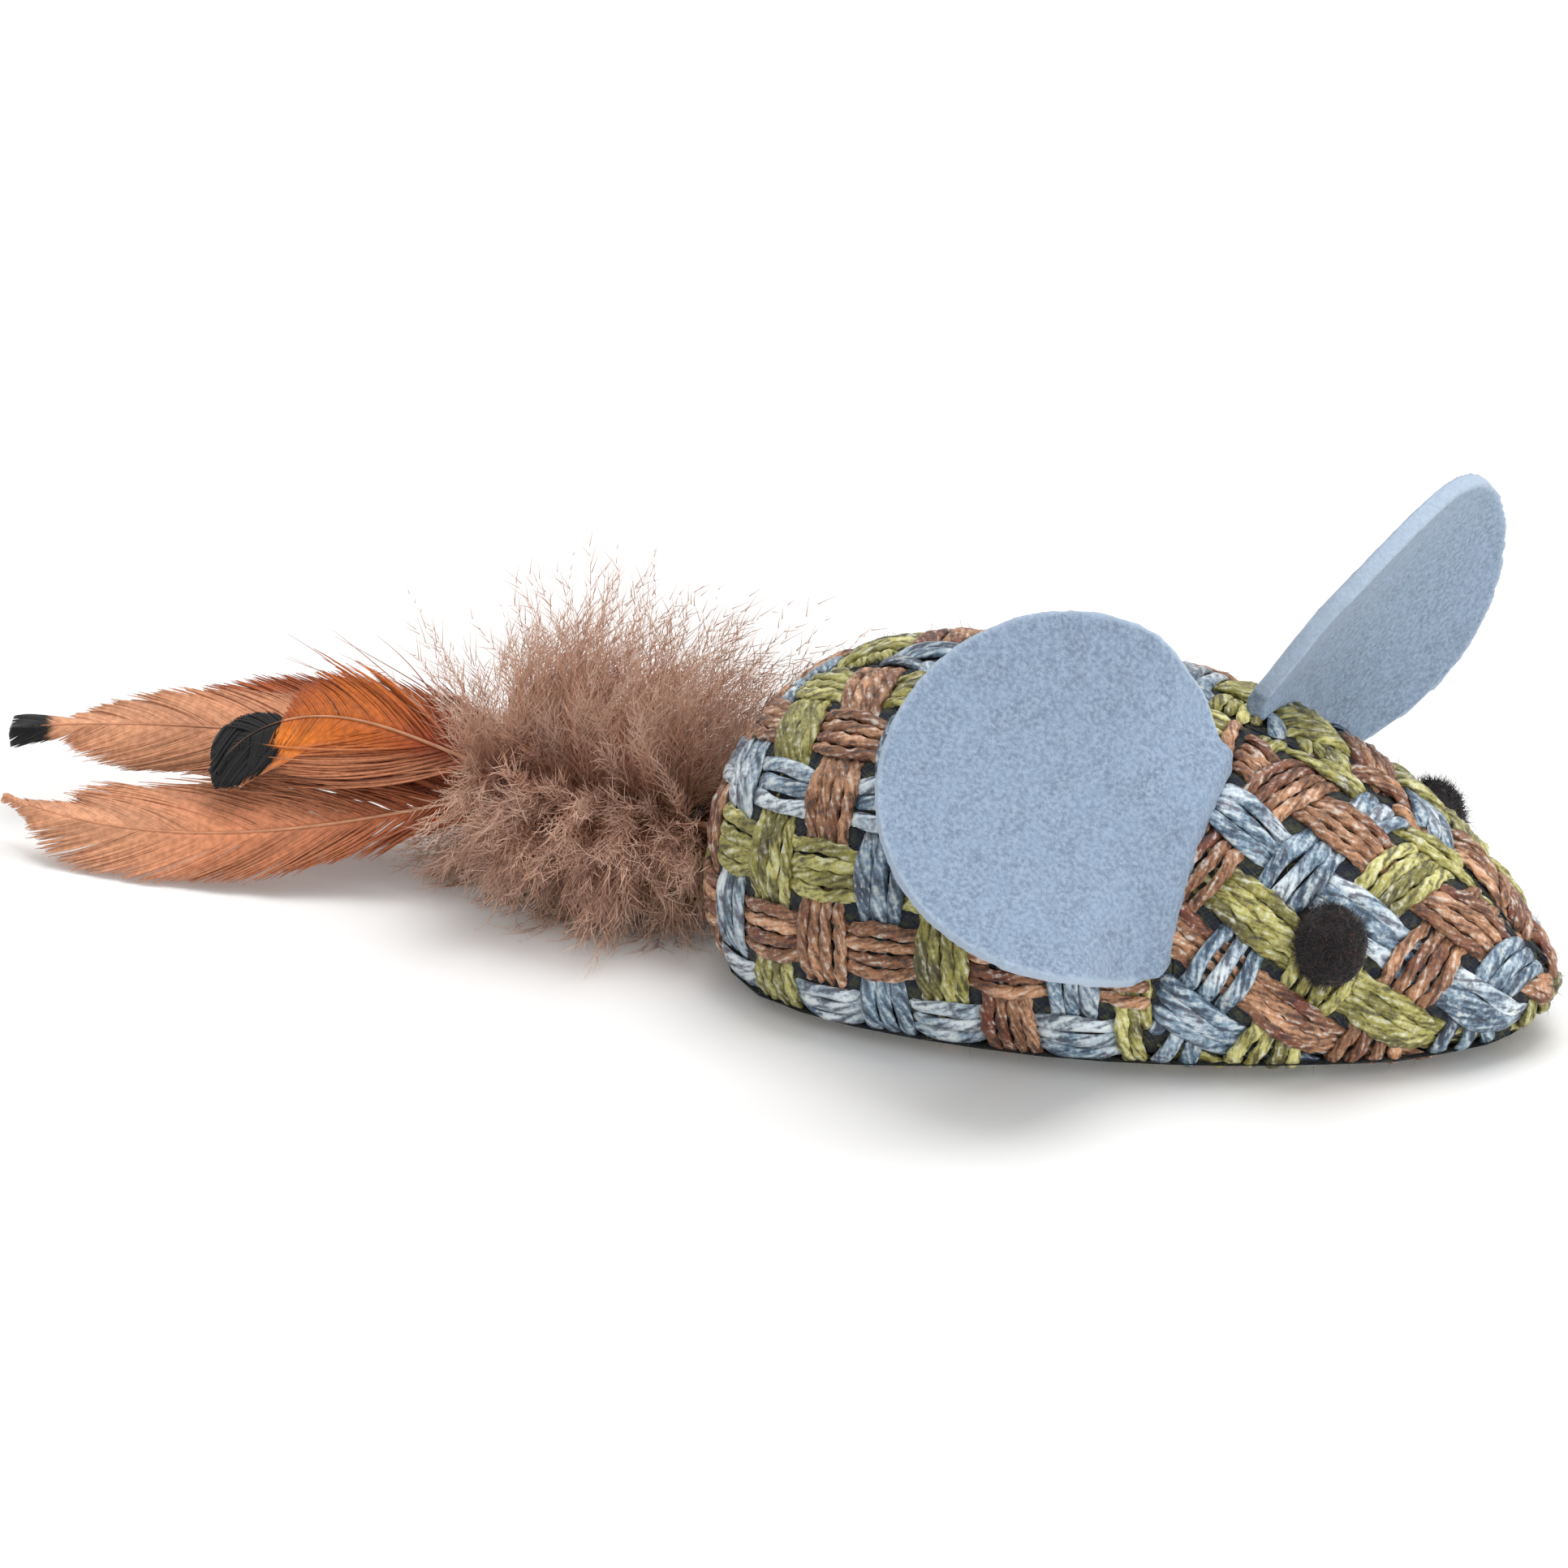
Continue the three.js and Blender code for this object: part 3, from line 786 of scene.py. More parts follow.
fibre_count = 3000
loose = np.concatenate(fuzz)
loose = loose[rng.choice(len(loose), fibre_count, replace=False)]
fibre_tones = 0.6 * np.array([blue_tones[1], olive_tones[1], copper_tones[1], olive_tones[0]])
tones = fibre_tones[rng.integers(0, len(fibre_tones), fibre_count)][:, None]
strands = Strands(3)
hairs(strands, loose[:, :3], loose[:, 3:], length=0.9, radius=0.022, curl=0.8, tint=tones)
dress(strands.make("fibres"), "tweed_fuzz", yarn, "mouse_body")

# %% [markdown]
# ## The filling
# Inside lie a tuft of white fibre and a muslin pouch of dried herb. They don't show, but they
# are pieces of the toy. Each starts from its CAD solid and is remeshed: the fibre is made
# lumpy with a cloud texture, and the pouch is blown up a little by the same cloth pressure.

# %% Stuffing and pouch
fibre = Finish("white_fibre", Roughness=1.0, Sheen_Weight=0.4)
lumps = fibre.noise(500.0, 6.0, Distortion=1.5)
fibre.feed("Base Color", fibre.mix(lumps, shade(214, 210, 200), shade(250, 249, 244)))
fibre.bump(lumps, 0.9, 0.6 * MM)

cloud = bpy.data.textures.new("tufts", "CLOUDS")
cloud.noise_scale = 4 * MM
stuffing = copy_of("stuffing")
modify(stuffing, "REMESH", mode="VOXEL", voxel_size=0.9 * MM)
modify(stuffing, "SMOOTH", factor=0.5, iterations=4)
modify(stuffing, "DISPLACE", texture=cloud, strength=0.5 * MM, mid_level=0.9)
settle(stuffing)
dress(stuffing, "fibre_stuffing", fibre, "mouse_body", ["stuffing"])

muslin = Finish("pouch_muslin", Roughness=0.9)
patches = muslin.noise(300.0)
muslin.feed("Base Color", muslin.mix(patches, shade(206, 196, 164), shade(228, 222, 198)))
muslin.bump(muslin.plain_weave(0.5), 0.5, 0.1 * MM)
pouch = copy_of("herb_pouch")
pouch_middle = np.array([-7, 0, 5.3]) * MM
pouch_shrink = 0.95  # before it swells
move_points(pouch, (points_of(pouch) - pouch_middle) * pouch_shrink + pouch_middle)
puff(pouch, voxel=0.8, held=lambda p: p[:, 2] < 2.4, pressure=2.0, cap=0.3)
settle(pouch)
dress(pouch, "herb_pouch_muslin", muslin, "mouse_body", ["herb_pouch"])

# %% [markdown]
# ## The ears
# Each ear is a disc of pressed felt whose root is caught in the seam behind the head. It
# starts as a cylinder. The bisect tool cuts it off below the root, a voxel remesh rounds its
# edges as shears leave them, and a cloud texture makes it a little uneven. Then it is bowed,
# and a tongue below the root is bent down into the seam.

# %% Ear felt
felt = Finish("ear_felt", Roughness=0.95, Sheen_Weight=0.25, Sheen_Roughness=0.4)
speckle = felt.noise(2600.0, 4.0, Roughness=0.65)
mottle = felt.noise(420.0, 3.0)
matted = felt.noise(1500.0, 5.0, Distortion=3.0)
felt_blue = felt.mix(speckle.between(0.3, 0.7), shade(108, 125, 147), shade(152, 170, 191))
felt_blue = felt.mix(mottle.between(0.3, 0.7) * 0.35, felt_blue, shade(146, 168, 194))
felt_blue = felt.mix(matted.between(0.6, 0.75) * 0.35, felt_blue, shade(178, 192, 208))
# The rim is lighter: partly the felt's cut edge, partly a painted highlight on its thickness.
cut_rim_and_highlight = felt.attribute("rim", "Fac")
felt.feed("Base Color", felt.mix(cut_rim_and_highlight * 0.6, felt_blue, shade(184, 200, 218)))
felt.bump(speckle + matted, 0.6, 0.14 * MM)

# %% Cut and round a disc
ear_thickness = 1.6
tongue = 2.2
rim_width = 0.5
trim_rise = 3.2  # how far up from the root a corner is trimmed
felt_grain = bpy.data.textures.new("felt_grain", "CLOUDS")
felt_grain.noise_scale = 1.1 * MM


def felt_disc(radius, root_length, trim):
    """A disc with its root on the x axis, cut a tongue's length below it, one corner trimmed round."""
    rise = math.sqrt(radius ** 2 - (root_length / 2) ** 2)
    bpy.ops.object.select_all(action="DESELECT")
    bpy.ops.mesh.primitive_cylinder_add(
        vertices=96, radius=radius * MM, depth=ear_thickness * MM, location=(0, rise * MM, 0))
    disc = bpy.context.object
    settle(disc)
    bpy.ops.object.mode_set(mode="EDIT")
    bpy.ops.mesh.select_all(action="SELECT")
    bpy.ops.mesh.bisect(
        plane_co=(0, -tongue * MM, 0), plane_no=(0, 1, 0), use_fill=True, clear_inner=True)
    bpy.ops.object.mode_set(mode="OBJECT")
    modify(disc, "REMESH", mode="VOXEL", voxel_size=0.36 * MM)
    modify(disc, "SMOOTH", factor=0.5, iterations=1)
    modify(disc, "DISPLACE", texture=felt_grain, strength=0.22 * MM, mid_level=0.5)
    x, y, z = (points_of(disc) / MM).T
    # A lighter band along the rim: partly the cut edge, partly a painted highlight.
    rim = smooth((np.hypot(x, y - rise) - radius + rim_width) / 0.3) * (y > 1)
    to_rim = disc.data.attributes.new("rim", "FLOAT", "POINT")
    to_rim.data.foreach_set("value", rim.astype(np.float32))
    x = np.where(x < 0, x * (1 - trim * (1 - smooth(y / trim_rise))), x)
    move_points(disc, np.column_stack([x, y, z]) * MM)
    return disc


# %% Bow it and sew it in
ears = {
    # body; side, place up the section, lean back; radius, root's length, bow; corner's trim
    "ear_right": ("right_ear", -1, 0.48, 68, 16.0, 24.6, 50.0, 0.2),
    "ear_left": ("left_ear", 1, 0.58, -35, 15.5, 26.0, 37.0, 0.0),
}
root_gap = 0.3 + ear_thickness / 2  # of the felt's middle over the body's form
bend_rise, bend_length = 0.8, 1.8  # the felt turns into the seam below that rise
held_rise = 7  # the seam's hold on the disc fades out up to there
seam_back = 0.5
blend_below, blend_above = 0.5, 3.5  # below and above the root; the line between them is worked out but not used


def sewn_on(x, turn_share, side):
    """A place on the body: share along it, turn up its section, foot, way up, way out."""
    u = np.array((x - rear_x) / body_length)
    turn = turn_share * math.pi / 2
    mirror = np.array([1, side, 1])
    foot = body_point(u, np.array(turn)) * mirror
    rung = unit(body_point(u, np.array(turn + math.pi / 64)) * mirror - foot)
    return u, turn, foot, rung, np.array([0, side * rung[2], -side * rung[1]])


def seam_line(u, turn, side, out, x):
    """The seam's own line over the body, at x to each side of the root's middle."""
    row = t_of_turn[int(np.abs(section_u - u).argmin())]
    climbed = np.interp(turn, section_turn, row) + side * x
    over_crown = climbed > row[-1]
    seam_turn = np.interp(np.where(over_crown, 2 * row[-1] - climbed, climbed), row, section_turn)
    seam_turn = np.where(over_crown, math.pi - seam_turn, seam_turn)
    seam = body_point(u, seam_turn) * np.array([1, side, 1]) + out * root_gap
    seam[:, 0] += neck_slant * (seam[:, 2] - neck_slant_level) - seam_back
    return seam


def hang_ear(node, body, side, turn_share, back_turn, radius, root_length, bow_radius, trim):
    disc = felt_disc(radius, root_length, trim)
    u, turn, foot, rung, out = sewn_on(neck_x, turn_share, side)
    lean = math.radians(back_turn)
    up = out * math.cos(lean) + np.array([-math.sin(lean), 0, 0])
    across = rung * side
    face = np.cross(across, up)
    root = foot + out * root_gap
    x, y, z = (points_of(disc) / MM).T[:, :, None]
    # Below the root the felt turns out of the disc's plane, straight down into the seam.
    depth = np.linspace(0, tongue + 1, 80)
    angle = abs(lean) * smooth(depth / bend_length)
    step = depth[1]
    fall, slide = np.cumsum(np.cos(angle)) * step - step, np.cumsum(np.sin(angle)) * step
    below = np.maximum(bend_rise - y, 0)
    angle, fall, slide = (np.interp(below, depth, v) for v in (angle, fall, slide))
    inward = -np.sign(out @ face)
    bow = x ** 2 / (2 * bow_radius) * face
    place = (
        root
        + x * across
        + np.where(y < bend_rise, bend_rise - fall, y) * up
        + inward * slide * face
        + z * (np.cos(angle) * face + inward * np.sin(angle) * up)
        - bow
    )
    # The seam holds the root down on the body, and the felt springs flat further out.
    flat = root + x * across - bow
    place += (1 - smooth(y / held_rise)) * (seam_line(u, turn, side, out, x[:, 0]) - flat)
    move_points(disc, place * MM)
    settle(disc)
    dress(disc, node + "_felt", felt, None, [node])
    start, end = (root - up * blend_below) * MM, (root + up * blend_above) * MM
    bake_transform(disc)


for node, (body, *values) in ears.items():
    hang_ear(node, body, *values)

# %% [markdown]
# ## The eyes
# Two balls of felted black wool are sewn down on the head. An icosphere gets a rough surface
# from a fine cloud texture, and a coat of short curled hairs breaks its outline.

# %% Black wool eyes
wool = Finish("black_wool", Roughness=1.0, Sheen_Weight=0.12)
specks = wool.noise(1500.0, 5.0)
wool.feed("Base Color", wool.mix(specks.between(0.56, 0.72), shade(22, 17, 20), shade(74, 48, 42)))
wool.bump(specks, 1.0, 0.3 * MM)
wool_hair = Finish("wool_hair", Roughness=0.9, Sheen_Weight=0.1)
tips = wool_hair.noise(900.0).between(0.5, 0.7)
wool_hair.feed("Base Color", wool_hair.mix(tips, shade(20, 16, 18), shade(80, 52, 46)))

eye_radius, eye_rise, eye_x, eye_turn_share = 3.3, 2.8, 21.3, 0.26
eye_stretch = [0.93, 1, 1.07]
eye_hairs = 1500
eye_cloud = bpy.data.textures.new("eye_cloud", "CLOUDS")
eye_cloud.noise_scale = 0.9 * MM

for node, side in (("eye_right", -1), ("eye_left", 1)):
    *_, foot, _, out = sewn_on(eye_x, eye_turn_share, side)
    middle = foot + out * (eye_rise - eye_radius)
    bpy.ops.object.select_all(action="DESELECT")
    bpy.ops.mesh.primitive_ico_sphere_add(
        subdivisions=5, radius=(eye_radius - 0.1) * MM, location=middle * MM)
    eye = bpy.context.object
    settle(eye)
    move_points(eye, ((points_of(eye) / MM - middle) * eye_stretch + middle) * MM)
    modify(eye, "DISPLACE", texture=eye_cloud, strength=0.45 * MM, mid_level=0.5)
    dress(eye, node + "_wool", wool, "mouse_body", [node])
    outward = unit(points_of(eye) / MM - middle)
    chosen = rng.choice(np.flatnonzero(outward @ out > 0.05), eye_hairs)
    roots = points_of(eye)[chosen] / MM
    strands = Strands(3)
    hairs(strands, roots, outward[chosen], length=0.7, radius=0.035, curl=0.8, tint=shade(30, 22, 24))
    dress(strands.make(node), node + "_hair", wool_hair, "mouse_body")

# %% [markdown]
# ## The feathers' frame
# The four feathers lie in parallel planes, rolled 40 degrees, so that they can fan without
# touching. `tail_point` places things by how far along the tail, across the plane and above
# it they are. The shaft's line is the CAD's own: a smooth curve through the down, and then a
# blade whose slope turns on to the tip.

# %% Tail frame and shaft lines
roll = math.radians(40)
bead_middle = np.array([-36.2, 0, 8.0])
tail_axes = np.array([
    [-1, 0, 0],
    [0, math.cos(roll), math.sin(roll)],
    [0, -math.sin(roll), math.cos(roll)],
])
down_start, down_end = 8.0, 26.8
quill_pitch, feather_pitch = 1.05, 2.4
stack_middle = 1.5  # between the second and the third feather
rise_start, rise_run = 5.2, 2.8  # where the quills spread to their planes
binding_start, binding_length = 3.2, 2.0
blade_steps = 160
feathers = {
    # place in the stack; offset and length of the vane; its slope, bend and the bend's power
    "back_feather": (0, 6.0, 31.0, 12, -26, 1.0),
    "upper_feather": (1, 3.4, 43.3, 7, -20, 1.0),
    "lower_feather": (2, -1.2, 41.6, -21, 36, 1.6),
    "heart_feather": (3, 2.6, 24.0, 14, -98, 2.4),
}


def tail_point(places):
    """places: (..., 3) of along, across and level."""
    return bead_middle + places @ tail_axes


class Feather:
    """The lines of one feather, as the CAD model draws them."""

    def __init__(self, name):
        self.name = name
        (self.place, self.side, self.length, self.fan, self.bend, self.power) = feathers[name]
        self.level = (self.place - stack_middle) * feather_pitch
        self.low = (self.place - stack_middle) * quill_pitch
        share = np.linspace(0, 1, blade_steps + 1)
        slope = np.radians(self.fan + self.bend * share ** self.power)
        middle = (slope[1:] + slope[:-1]) / 2
        step = self.length / blade_steps
        self.share = share
        self.slope = slope
        self.blade = np.stack([
            down_end + np.concatenate([[0], np.cumsum(step * np.cos(middle))]),
            self.side + np.concatenate([[0], np.cumsum(step * np.sin(middle))]),
        ], -1)

    def on_blade(self, share):
        """Along, across and slope on the vane's stretch of the shaft."""
        at = [np.interp(share, self.share, v) for v in (*self.blade.T, self.slope)]
        return at[0], at[1], at[2]

    def on_quill(self, share):
        """Along, across and slope on the stretch in the down."""
        run = down_end - down_start
        end = math.tan(math.radians(self.fan))
        t = np.asarray(share, float)
        across = self.side * t ** 2 * (3 - 2 * t) + end * run * (t ** 3 - t ** 2)
        grade = self.side * 6 * t * (1 - t) / run + end * (3 * t ** 2 - 2 * t)
        return down_start + run * t, across, np.arctan(grade)

    def on_shaft(self, share):
        """As on_blade, and before the vane's start as on_quill."""
        before = self.on_quill(1 + np.minimum(share, 0) * self.length / (down_end - down_start))
        after = self.on_blade(share)
        return [np.where(share < 0, early, late) for early, late in zip(before, after)]

    def level_at(self, along):
        """The quill's level: close to the others in the binding, then in its feather's plane."""
        return self.low + (self.level - self.low) * smooth((along - rise_start) / rise_run)


# %% [markdown]
# ## Shafts, binding and glue
# A shaft is a horn-like tube that tapers to a hair. The quill ends are whipped with thread: a
# real winding, turn beside turn. A bead of set glue holds them in the seam.

# %% Quill, thread and glue
quill = Finish("quill", Roughness=0.35)
horn = quill.noise(600.0).between(0.3, 0.7) * 0.5
quill.feed("Base Color", quill.mix(horn, quill.attribute("tint"), shade(150, 96, 62)))
quill.bump(quill.noise(2500.0), 0.2, 0.05 * MM)
quill_start = 2.5
shaft_end = 0.93  # of the vane's stretch
black_shaft_middle, black_shaft_radius = [45.5, 1.0], 3.6  # inside the heart


def add_shaft(feather):
    run = quill_start + np.linspace(0, 1, 14) * (down_start - quill_start)
    stack = np.column_stack([run, 0 * run, feather.level_at(run)])
    a, b, _ = feather.on_quill(np.linspace(0, 1, 24)[1:])
    inner = np.column_stack([a, b, np.full(len(a), feather.level)])
    a, b, _ = feather.on_blade(np.linspace(0, shaft_end, 44)[1:])
    outer = np.column_stack([a, b, np.full(len(a), feather.level)])
    line = np.concatenate([stack, inner, outer])
    radii = ((stack, 0.4, 0.32), (inner, 0.31, 0.18), (outer, 0.17, 0.04))
    radius = np.concatenate([np.linspace(first, last, len(part)) for part, first, last in radii])
    fade = np.linspace(0, 1, len(line))[:, None]
    tint = (1 - fade) * np.array(shade(176, 128, 98)) + fade * np.array(shade(222, 158, 118))
    if feather.name == "heart_feather":
        away = np.linalg.norm(line[:, :2] - black_shaft_middle, axis=1)
        tint = np.where(away[:, None] < black_shaft_radius, 0.006, tint)
    strands = Strands(10)
    strands.add(tail_point(line)[None], tail_axes[2], radius, radius * 0.85, tint[None])
    name = feather.name + "_shaft"
    dress(strands.make(name), feather.name + "_quill", quill, feather.name, [name])


thread = Finish("binding_thread", Roughness=0.6)
along, around, _ = thread.parts(thread.attribute("lay", "Vector"))
ply = ((along * 2.2 + around) * (2 * math.pi)).math("SINE")
thread.feed("Base Color", thread.mix(ply.between(-0.8, 0.8), shade(38, 28, 24), shade(92, 72, 58)))
thread.bump(ply, 0.8, 0.06 * MM)
thread_radius = 0.14
layer_radii = (2.44, 2.68)
turns = 7
binding = Strands(8)
for layer, coil in enumerate(layer_radii):
    q = np.linspace(0, 1, turns * 40)
    angle = 2 * math.pi * turns * q
    travel = thread_radius + (binding_length - 2 * thread_radius) * (q if layer == 0 else 1 - q)
    away = np.column_stack([0 * q, coil * np.cos(angle), coil * np.sin(angle)])
    line = away + (binding_start + travel)[:, None] * [1, 0, 0]
    outward = unit(away @ tail_axes)[None]
    binding.add(tail_point(line)[None], outward, thread_radius, thread_radius, (0.1, 0.07, 0.05))
dress(binding.make("winding"), "quill_winding", thread, "tail_binding", ["quill_binding"])

glue = Finish("set_glue", Roughness=0.25, Transmission_Weight=0.35, IOR=1.48, Coat_Weight=0.3)
glue.feed("Base Color", glue.mix(glue.noise(500.0), shade(206, 176, 112), shade(232, 210, 156)))
glue.bump(glue.noise(400.0), 0.3, 0.2 * MM)
bpy.ops.object.select_all(action="DESELECT")
bpy.ops.mesh.primitive_ico_sphere_add(subdivisions=4, radius=2.15 * MM, location=bead_middle * MM)
bead = bpy.context.object
settle(bead)
modify(bead, "DISPLACE", texture=cloud, strength=0.25 * MM, mid_level=0.8)
dress(bead, "glue_drop", glue, "tail_root", ["glue_bead"])

# %% [markdown]
# ## The vanes
# A vane is made of barbs: fine flat strands that leave the shaft at a slant and lie side by
# side. They are hooked to each other in clumps, so the vane splits between clumps. Near the
# down the hooks are missing, and long loose barbs lie almost along the shaft. The copper
# colour follows where a point of a barb lies: rust beside the down, pale or bright further
# out, and black in two of the tips.

# %% Vane colours and outlines
peach, copper_red, rust = (
    np.array(shade(*c)) for c in ((228, 166, 128), (192, 102, 56), (144, 56, 24)))
amber, mauve, soot = (np.array(shade(*c)) for c in ((255, 146, 48), (146, 86, 62), (10, 10, 13)))
tan = 0.4 * copper_red + 0.6 * peach
no_black = 9  # a share past every tip
vane_looks = {
    # tones near the down, in the middle and near the tip; share at which a black tip starts;
    # then the widths on both sides of the shaft: at each share, above it and below it
    "back_feather": (
        (mauve, mauve * 0.4 + rust * 0.6, copper_red), no_black,
        ((0, 4, 5), (0.4, 4.2, 4.5), (0.7, 3, 3), (0.9, 1.5, 1.5), (1, 0.4, 0.4))),
    "upper_feather": (
        (rust, peach * 0.75 + copper_red * 0.25, peach), 0.9,
        ((0, 4, 4), (0.25, 4.5, 5.5), (0.5, 4.2, 5.4), (0.7, 2.8, 3.4), (0.88, 1.1, 1.2),
         (0.93, 1.9, 1.9), (1, 1.9, 1.9))),
    "lower_feather": (
        (copper_red * 0.8 + mauve * 0.2, copper_red * 0.55 + peach * 0.45, peach), no_black,
        ((0, 8, 2.6), (0.3, 8.2, 4.2), (0.5, 6.6, 4.2), (0.63, 4.4, 4), (0.76, 2.4, 3),
         (0.9, 1.2, 1.4), (1, 0.5, 0.5))),
    "heart_feather": (
        (rust, rust * 0.6 + amber * 0.4, amber), no_black,
        ((0, 4.5, 7.4), (0.25, 4, 9.4), (0.5, 3.8, 9), (0.8, 4.2, 6.6), (1, 4.2, 4.2))),
}

# %% The black heart and the barbs' colours
heart_middle = np.array([45.6, 0.5])
heart_turns = [-145, -108, -67, -30, 0, 46, 98, 130, 156, 178]  # degrees about the middle
heart_reach = [2.9, 3.2, 4.5, 3.3, 3.2, 2.9, 3.6, 4.2, 2.1, 3.3]  # how far its edge is there
heart_from = 43.0  # no barb is cut nearer the body than that
low_heart_from, low_heart_top = 41.5, -1.5  # but far below the shaft, from here


def heart_edge(away):
    turns = np.degrees(np.arctan2(away[..., 1], away[..., 0]))
    return np.interp(turns, heart_turns, heart_reach, period=360)


def vane_tint(feather, share, flat, noise):
    """Colour at each point of the barbs. share runs on towards the tip, flat is in the plane."""
    (near, middle, far), black_from, _ = vane_looks[feather.name]
    first, second = smooth(share / 0.4)[..., None], smooth((share - 0.4) / 0.42)[..., None]
    tint = near + first * (middle - near) + second * (far - middle)
    tint = tint * (1 + 0.16 * np.clip(noise, -2, 1.5)[..., None])
    edge = smooth((share - black_from - 0.006 * noise) / 0.02)
    if feather.name == "heart_feather":
        away = flat - heart_middle
        edge = heart_edge(away) - np.linalg.norm(away, axis=-1)
        edge = smooth(edge / 0.2 + 0.5 + 0.1 * noise)
        # The stretch beside the shaft is bright, the upper edge rust and the lower half tan.
        across = flat[..., 1:]
        tint += second * smooth((across - 2.0) / 2.2) * (rust * 1.2 - tint)
        tint += 0.8 * smooth((2.8 - 2.2 * second - across) / 2.6) * (tan - tint)
    return tint + edge[..., None] * (soot - tint)


# %% Paths of the barbs
barb_pitch = 0.13
barb_stations = 11
along_barb = np.linspace(0, 1, barb_stations)[None, :]
barb_half_width, barb_half_thickness = 0.115, 0.04
longest_barb = 16.5
first_share, last_share = -0.12, 0.99  # of the shaft's stretch that has barbs
tip_from = 0.8  # past that share no barb runs past the feather's tip
clump_share = 0.07  # how often a new clump starts
root_slant, slant_drop = 27, 7  # degrees from the shaft, and how much less at the tip
heart_slant, heart_slant_from = 26, 0.25  # more than that in the heart
gain = 0.93  # of a barb's length, along the shaft


def lift(flat, level):
    """Brings points from a feather's plane to their level, in the tail's frame."""
    return tail_point(np.concatenate([flat, level[..., None]], -1))


def along_paths(paths, at):
    """Points at places between the stations of each path, and the way on to the next."""
    low = np.minimum(at.astype(int), barb_stations - 2)
    part = (at - low)[..., None]
    pick = np.arange(len(paths))[:, None]
    before, after = paths[pick, low], paths[pick, low + 1]
    return before * (1 - part) + after * part, after - before


def barb_paths(feather, side):
    """One side's barbs: share of the shaft, clump, looseness, length and path in the plane."""
    count = int(feather.length / barb_pitch)
    outline = np.array(vane_looks[feather.name][2])
    root = np.linspace(first_share, last_share, count) + rng.normal(0, 0.002, count)
    root = np.clip(root, first_share, 1)
    clump = np.cumsum(rng.random(count) < clump_share)
    lean = rng.normal(0, 1, clump.max() + 1)[clump]
    loose = np.exp(-np.maximum(root, 0) / 0.16) * rng.uniform(0.3, 1, count)
    slant = root_slant - slant_drop * root + rng.normal(0, 1.0 + 5 * loose, count)
    if feather.name == "heart_feather":
        slant = slant + heart_slant * smooth((root - heart_slant_from) / 0.3)
    slant = np.radians(slant)
    half = np.interp(root + 0.06, outline[:, 0], outline[:, 1 if side > 0 else 2])
    length = np.minimum(half / np.sin(slant), longest_barb)
    length = length * rng.uniform(0.95, 1.03, count) * (1 + 0.24 * loose)
    a, b, slope = feather.on_shaft(root)
    left = feather.blade[-1, 0] + 0.3 - a
    length = np.where(root > tip_from, np.minimum(length, np.maximum(left, 0.5)), length)
    # A barb leaves steeply and then turns along the vane's edge, with its clump.
    heading = slant[:, None] * (1.32 - 0.84 * along_barb)
    heading = heading + np.radians(2.0) * (lean[:, None] * along_barb ** 2)
    heading = slope[:, None] + side * heading
    step = length[:, None] / (barb_stations - 1)
    still = np.zeros((count, 1))
    ways = [np.cumsum(step * turn(heading[:, 1:]), 1) for turn in (np.cos, np.sin)]
    run_a, run_b = (
        start[:, None] + np.concatenate([still, way], 1) for start, way in zip((a, b), ways))
    return root, clump, loose, length, np.stack([run_a, run_b], -1)


# %% Barbs of the vanes
def cut_at_heart(flat):
    """Ends the barbs near the tip on the heart's outline. Also gives how far each one goes."""
    run_a, run_b = flat[..., 0], flat[..., 1]
    away = flat - heart_middle
    over = np.linalg.norm(away, axis=-1) - heart_edge(away)
    over += rng.normal(0, 0.12, (len(flat), 1))
    low = (run_b < low_heart_top) & (run_a > low_heart_from)
    past = ((run_a > heart_from) | low) & (over > 0)
    cut, pick = past.any(1), np.arange(len(flat))
    first = np.where(cut, np.maximum(past.argmax(1), 1), barb_stations - 1)
    inner, outer = over[pick, first - 1], over[pick, first]
    part = np.where(cut, np.clip(-inner / np.maximum(outer - inner, 1e-6), 0, 1), 1)
    reach = along_barb * (np.maximum(first - 1 + part, 0.4) / (barb_stations - 1))[:, None]
    return along_paths(flat, reach * (barb_stations - 1))[0], reach


def add_side(strands, feather, side):
    """The barbs on one side of the shaft."""
    root, clump, loose, length, flat = barb_paths(feather, side)
    count = len(root)
    reach = along_barb + np.zeros((count, 1))
    if feather.name == "heart_feather":
        flat, reach = cut_at_heart(flat)
    ripple = rng.normal(0, 0.1, clump.max() + 1)[clump] + rng.normal(0, 0.9, count) * loose
    level = feather.level - 0.06 - 0.85 * reach ** 1.6 + ripple[:, None] * reach
    taper = np.clip(1.3 - 1.1 * along_barb ** 2.5, 0.2, 1)
    share = root[:, None] + length[:, None] * reach * gain / feather.length
    noise = rng.normal(0, 0.6, (count, 1)) + 1.1 * wander(count, 14, 0.8)[:, None]
    tint = vane_tint(feather, share, flat, noise + 0 * along_barb)
    strands.add(lift(flat, level), tail_axes[2],
                barb_half_width * taper, barb_half_thickness * taper, tint)


